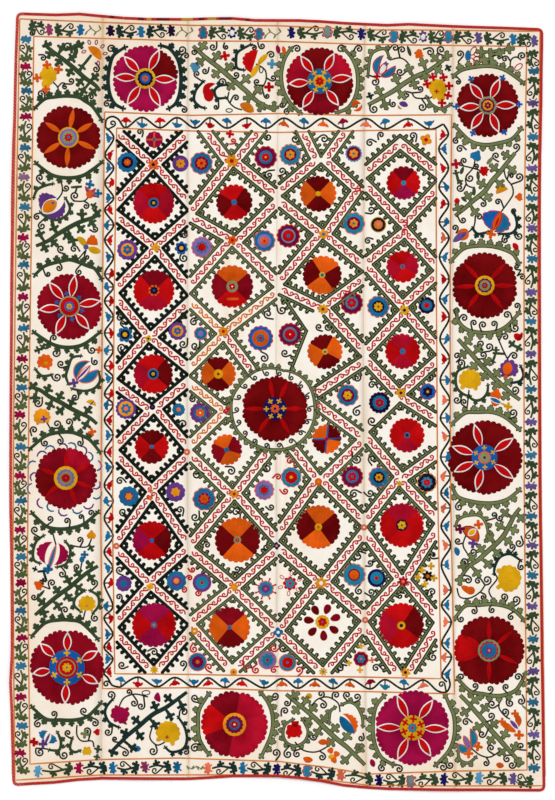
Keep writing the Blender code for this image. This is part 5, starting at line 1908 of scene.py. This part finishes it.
class SUZANI_OT_wide_border(bpy.types.Operator):
    """Sew the arcs, branches, curls and flowers between the large rosettes."""

    bl_idname = "suzani.wide_border"
    bl_label = "Wide border"

    def execute(self, context):
        rng = random.Random(21)
        arcs, greens, blooms = Needlework({"green": "line"}), Needlework({"green": "line"}), Needlework()
        for row in ROSETTE_ARCS:
            toothed_arc(arcs, row, rng)
        toothed_arc(arcs, MIDDLE_ARC, rng, width=3.4, pitch=6.8, size=2.3, ends=0)
        for row in CRESCENTS:
            toothed_arc(arcs, row, rng, width=3.2, pitch=7.0, size=2.4, ends=2.4)
        greens.stems += arcs.stems
        for row in BRANCHES:
            branch(greens, row, rng)
        for bends in VINES:
            path = curve_through(rows_of(bends), 5)
            greens.ribbon(path, 1.7, "line", 0)
            greens.stems += path
        for silk, u, v, length, way in rows_of(LOOSE_LEAVES):
            trefoil(greens, u, v, length * 0.52, way, silk, rng)
        for text in BORDER_CURLS.values():
            for u, v, radius in rows_of(text):
                curl(greens, u, v, radius * 1.08, "line", rng)
        for row in rows_of(PETALS):
            silk, u, v, length, width, way, level, point, bumps = filled(row, 7, 0, 0)
            blooms.fill(blob(u, v, length, width, way, point, bumps), silk, level + 1, grain=-way)
        for row in rows_of(SLIVERS):
            silk, u0, v0, u1, v1, outer, inner, bumps, level, edge = filled(row, 7, 0, 0, "")
            way = heading((u0, v0), (u1, v1))
            if edge:
                blooms.fill(sliver(u0, v0, u1, v1, outer, inner, bumps, 0.9), edge, level, grain=-way)
            dye_and_sheen = rng.uniform(-0.2, 0.2)
            blooms.fill(sliver(u0, v0, u1, v1, outer, inner, bumps), silk, level + 1, grain=-way, dye_and_sheen=dye_and_sheen)
        for silk, u, v, half, way, petals in rows_of(DOMES):
            blooms.fill(dome(u, v, half, way, petals, rng), silk, 1, grain=-way, dye_and_sheen=rng.uniform(-0.2, 0.2))
        for silk, u, v, length, way in rows_of(LOOPS):
            middle = polar(u, v, length / 2, way)
            oval = blob(*middle, length, length * 0.56, way, steps=16)
            blooms.ribbon(oval + oval[:1], 1.15, silk, 0)
        for silk, u, v, size in rows_of(SMALL_CROSSES):
            blooms.fill(cross(u, v, size, rng.uniform(-12, 12)), silk, 3, grain=0)
        for silk, u, v, length, width, way, level in rows_of(BARS):
            ends = polar(u, v, length / 2, way + 180), (u, v), polar(u, v, length / 2, way)
            blooms.ribbon(list(ends), [width * 0.8, width, width * 0.8], silk, level)
        for silk, hooks in HOOKS.items():
            for place in rows_of(hooks):
                reach, way = span(HOOKED_ROSETTE, place), heading(HOOKED_ROSETTE, place)
                line = [polar(*HOOKED_ROSETTE, reach + step, way + lean)
                        for step, lean in ((-3.5, -3), (-0.2, -2), (2.0, 2), (2.4, 7), (1.2, 12))]
                blooms.ribbon(line, [1.5, 1.9, 2.0, 1.8, 1.3], silk, 0)
        arcs.build("border_arcs")
        greens.build("border_branches")
        blooms.build("border_blooms")
        return {"FINISHED"}


class SUZANI_OT_field_curls(bpy.types.Operator):
    """Sew the curls of the lattice and round the middle rosette."""

    bl_idname = "suzani.field_curls"
    bl_label = "Field curls"

    def execute(self, context):
        rng = random.Random(17)
        work = Needlework()
        for silk, curls in FIELD_CURLS.items():
            for u, v, radius in rows_of(curls):
                curl(work, u, v, radius * 1.1, silk, rng)
        for k in range(18):
            foot, middle = polar(*MIDDLE_RING[:2], 40.4, 20 * k + 5), polar(*MIDDLE_RING[:2], 36.6, 20 * k)
            work.ribbon(curl_path(foot, middle, 2.5, 1, 1.2), 1.6, "line", 0)
        work.build("field_curls")
        return {"FINISHED"}


class SUZANI_OT_stage(bpy.types.Operator):
    """Set the white surface, the light and the camera."""

    bl_idname = "suzani.stage"
    bl_label = "Stage"

    def execute(self, context):
        floor = bpy.data.meshes.new("surface")
        size = 30.0
        floor.from_pydata(
            [(-size, -size, -0.0004), (size, -size, -0.0004), (size, size, -0.0004), (-size, size, -0.0004)],
            [], [(0, 1, 2, 3)],
        )
        white, _, shader = started("white surface", 1.0, 0.0)
        shader.inputs["Base Color"].default_value = (1.0, 1.0, 1.0, 1.0)
        floor.materials.append(white)
        surface = bpy.data.objects.new("surface", floor)
        context.scene.collection.objects.link(surface)

        world = bpy.data.worlds.new("surroundings")
        context.scene.world = world
        world.use_nodes = True
        world.node_tree.nodes["Background"].inputs["Color"].default_value = (1.0, 1.0, 1.0, 1.0)
        world.node_tree.nodes["Background"].inputs["Strength"].default_value = settings().light_strength

        lamp_data = bpy.data.lights.new("key light", "SUN")
        lamp_data.energy = 1.1
        lamp_data.angle = math.radians(12)
        lamp = bpy.data.objects.new("key light", lamp_data)
        lamp.rotation_euler = (math.radians(-38), math.radians(-8), 0)
        context.scene.collection.objects.link(lamp)

        lens_data = bpy.data.cameras.new("camera")
        lens_data.lens = 85.0
        lens_data.sensor_fit = "VERTICAL"
        lens_data.sensor_height = 36.0
        camera = bpy.data.objects.new("camera", lens_data)
        shown_height = 800 * UNIT
        middle = at(277.5, 400.0)
        camera.location = (*middle, shown_height * lens_data.lens / lens_data.sensor_height)
        context.scene.collection.objects.link(camera)
        context.scene.camera = camera
        context.scene.view_settings.view_transform = "Standard"
        return {"FINISHED"}


OPERATORS = (
    SUZANI_OT_cloth,
    SUZANI_OT_binding,
    SUZANI_OT_large_rosettes,
    SUZANI_OT_lattice_rosettes,
    SUZANI_OT_lattice,
    SUZANI_OT_field_curls,
    SUZANI_OT_guards,
    SUZANI_OT_meander,
    SUZANI_OT_wide_border,
    SUZANI_OT_narrow_border,
    SUZANI_OT_stage,
)


class SUZANI_PT_panel(bpy.types.Panel):
    """The steps of the suzani, in order."""

    bl_idname = "SUZANI_PT_panel"
    bl_label = "Suzani"
    bl_space_type = "VIEW_3D"
    bl_region_type = "UI"
    bl_category = "Suzani"

    def draw(self, context):
        for operator in OPERATORS:
            self.layout.operator(operator.bl_idname)


def register():
    for item in register_classes():
        bpy.utils.register_class(item)
    bpy.types.Scene.suzani = bpy.props.PointerProperty(type=SuzaniSettings)


def unregister():
    del bpy.types.Scene.suzani
    for item in reversed(register_classes()):
        bpy.utils.unregister_class(item)


def main():
    register()
    bpy.ops.suzani.cloth()
    bpy.ops.suzani.binding()
    bpy.ops.suzani.large_rosettes()
    bpy.ops.suzani.lattice_rosettes()
    bpy.ops.suzani.lattice()
    bpy.ops.suzani.field_curls()
    bpy.ops.suzani.guards()
    bpy.ops.suzani.meander()
    bpy.ops.suzani.wide_border()
    bpy.ops.suzani.narrow_border()
    bpy.ops.suzani.stage()


if __name__ == "__main__":
    main()
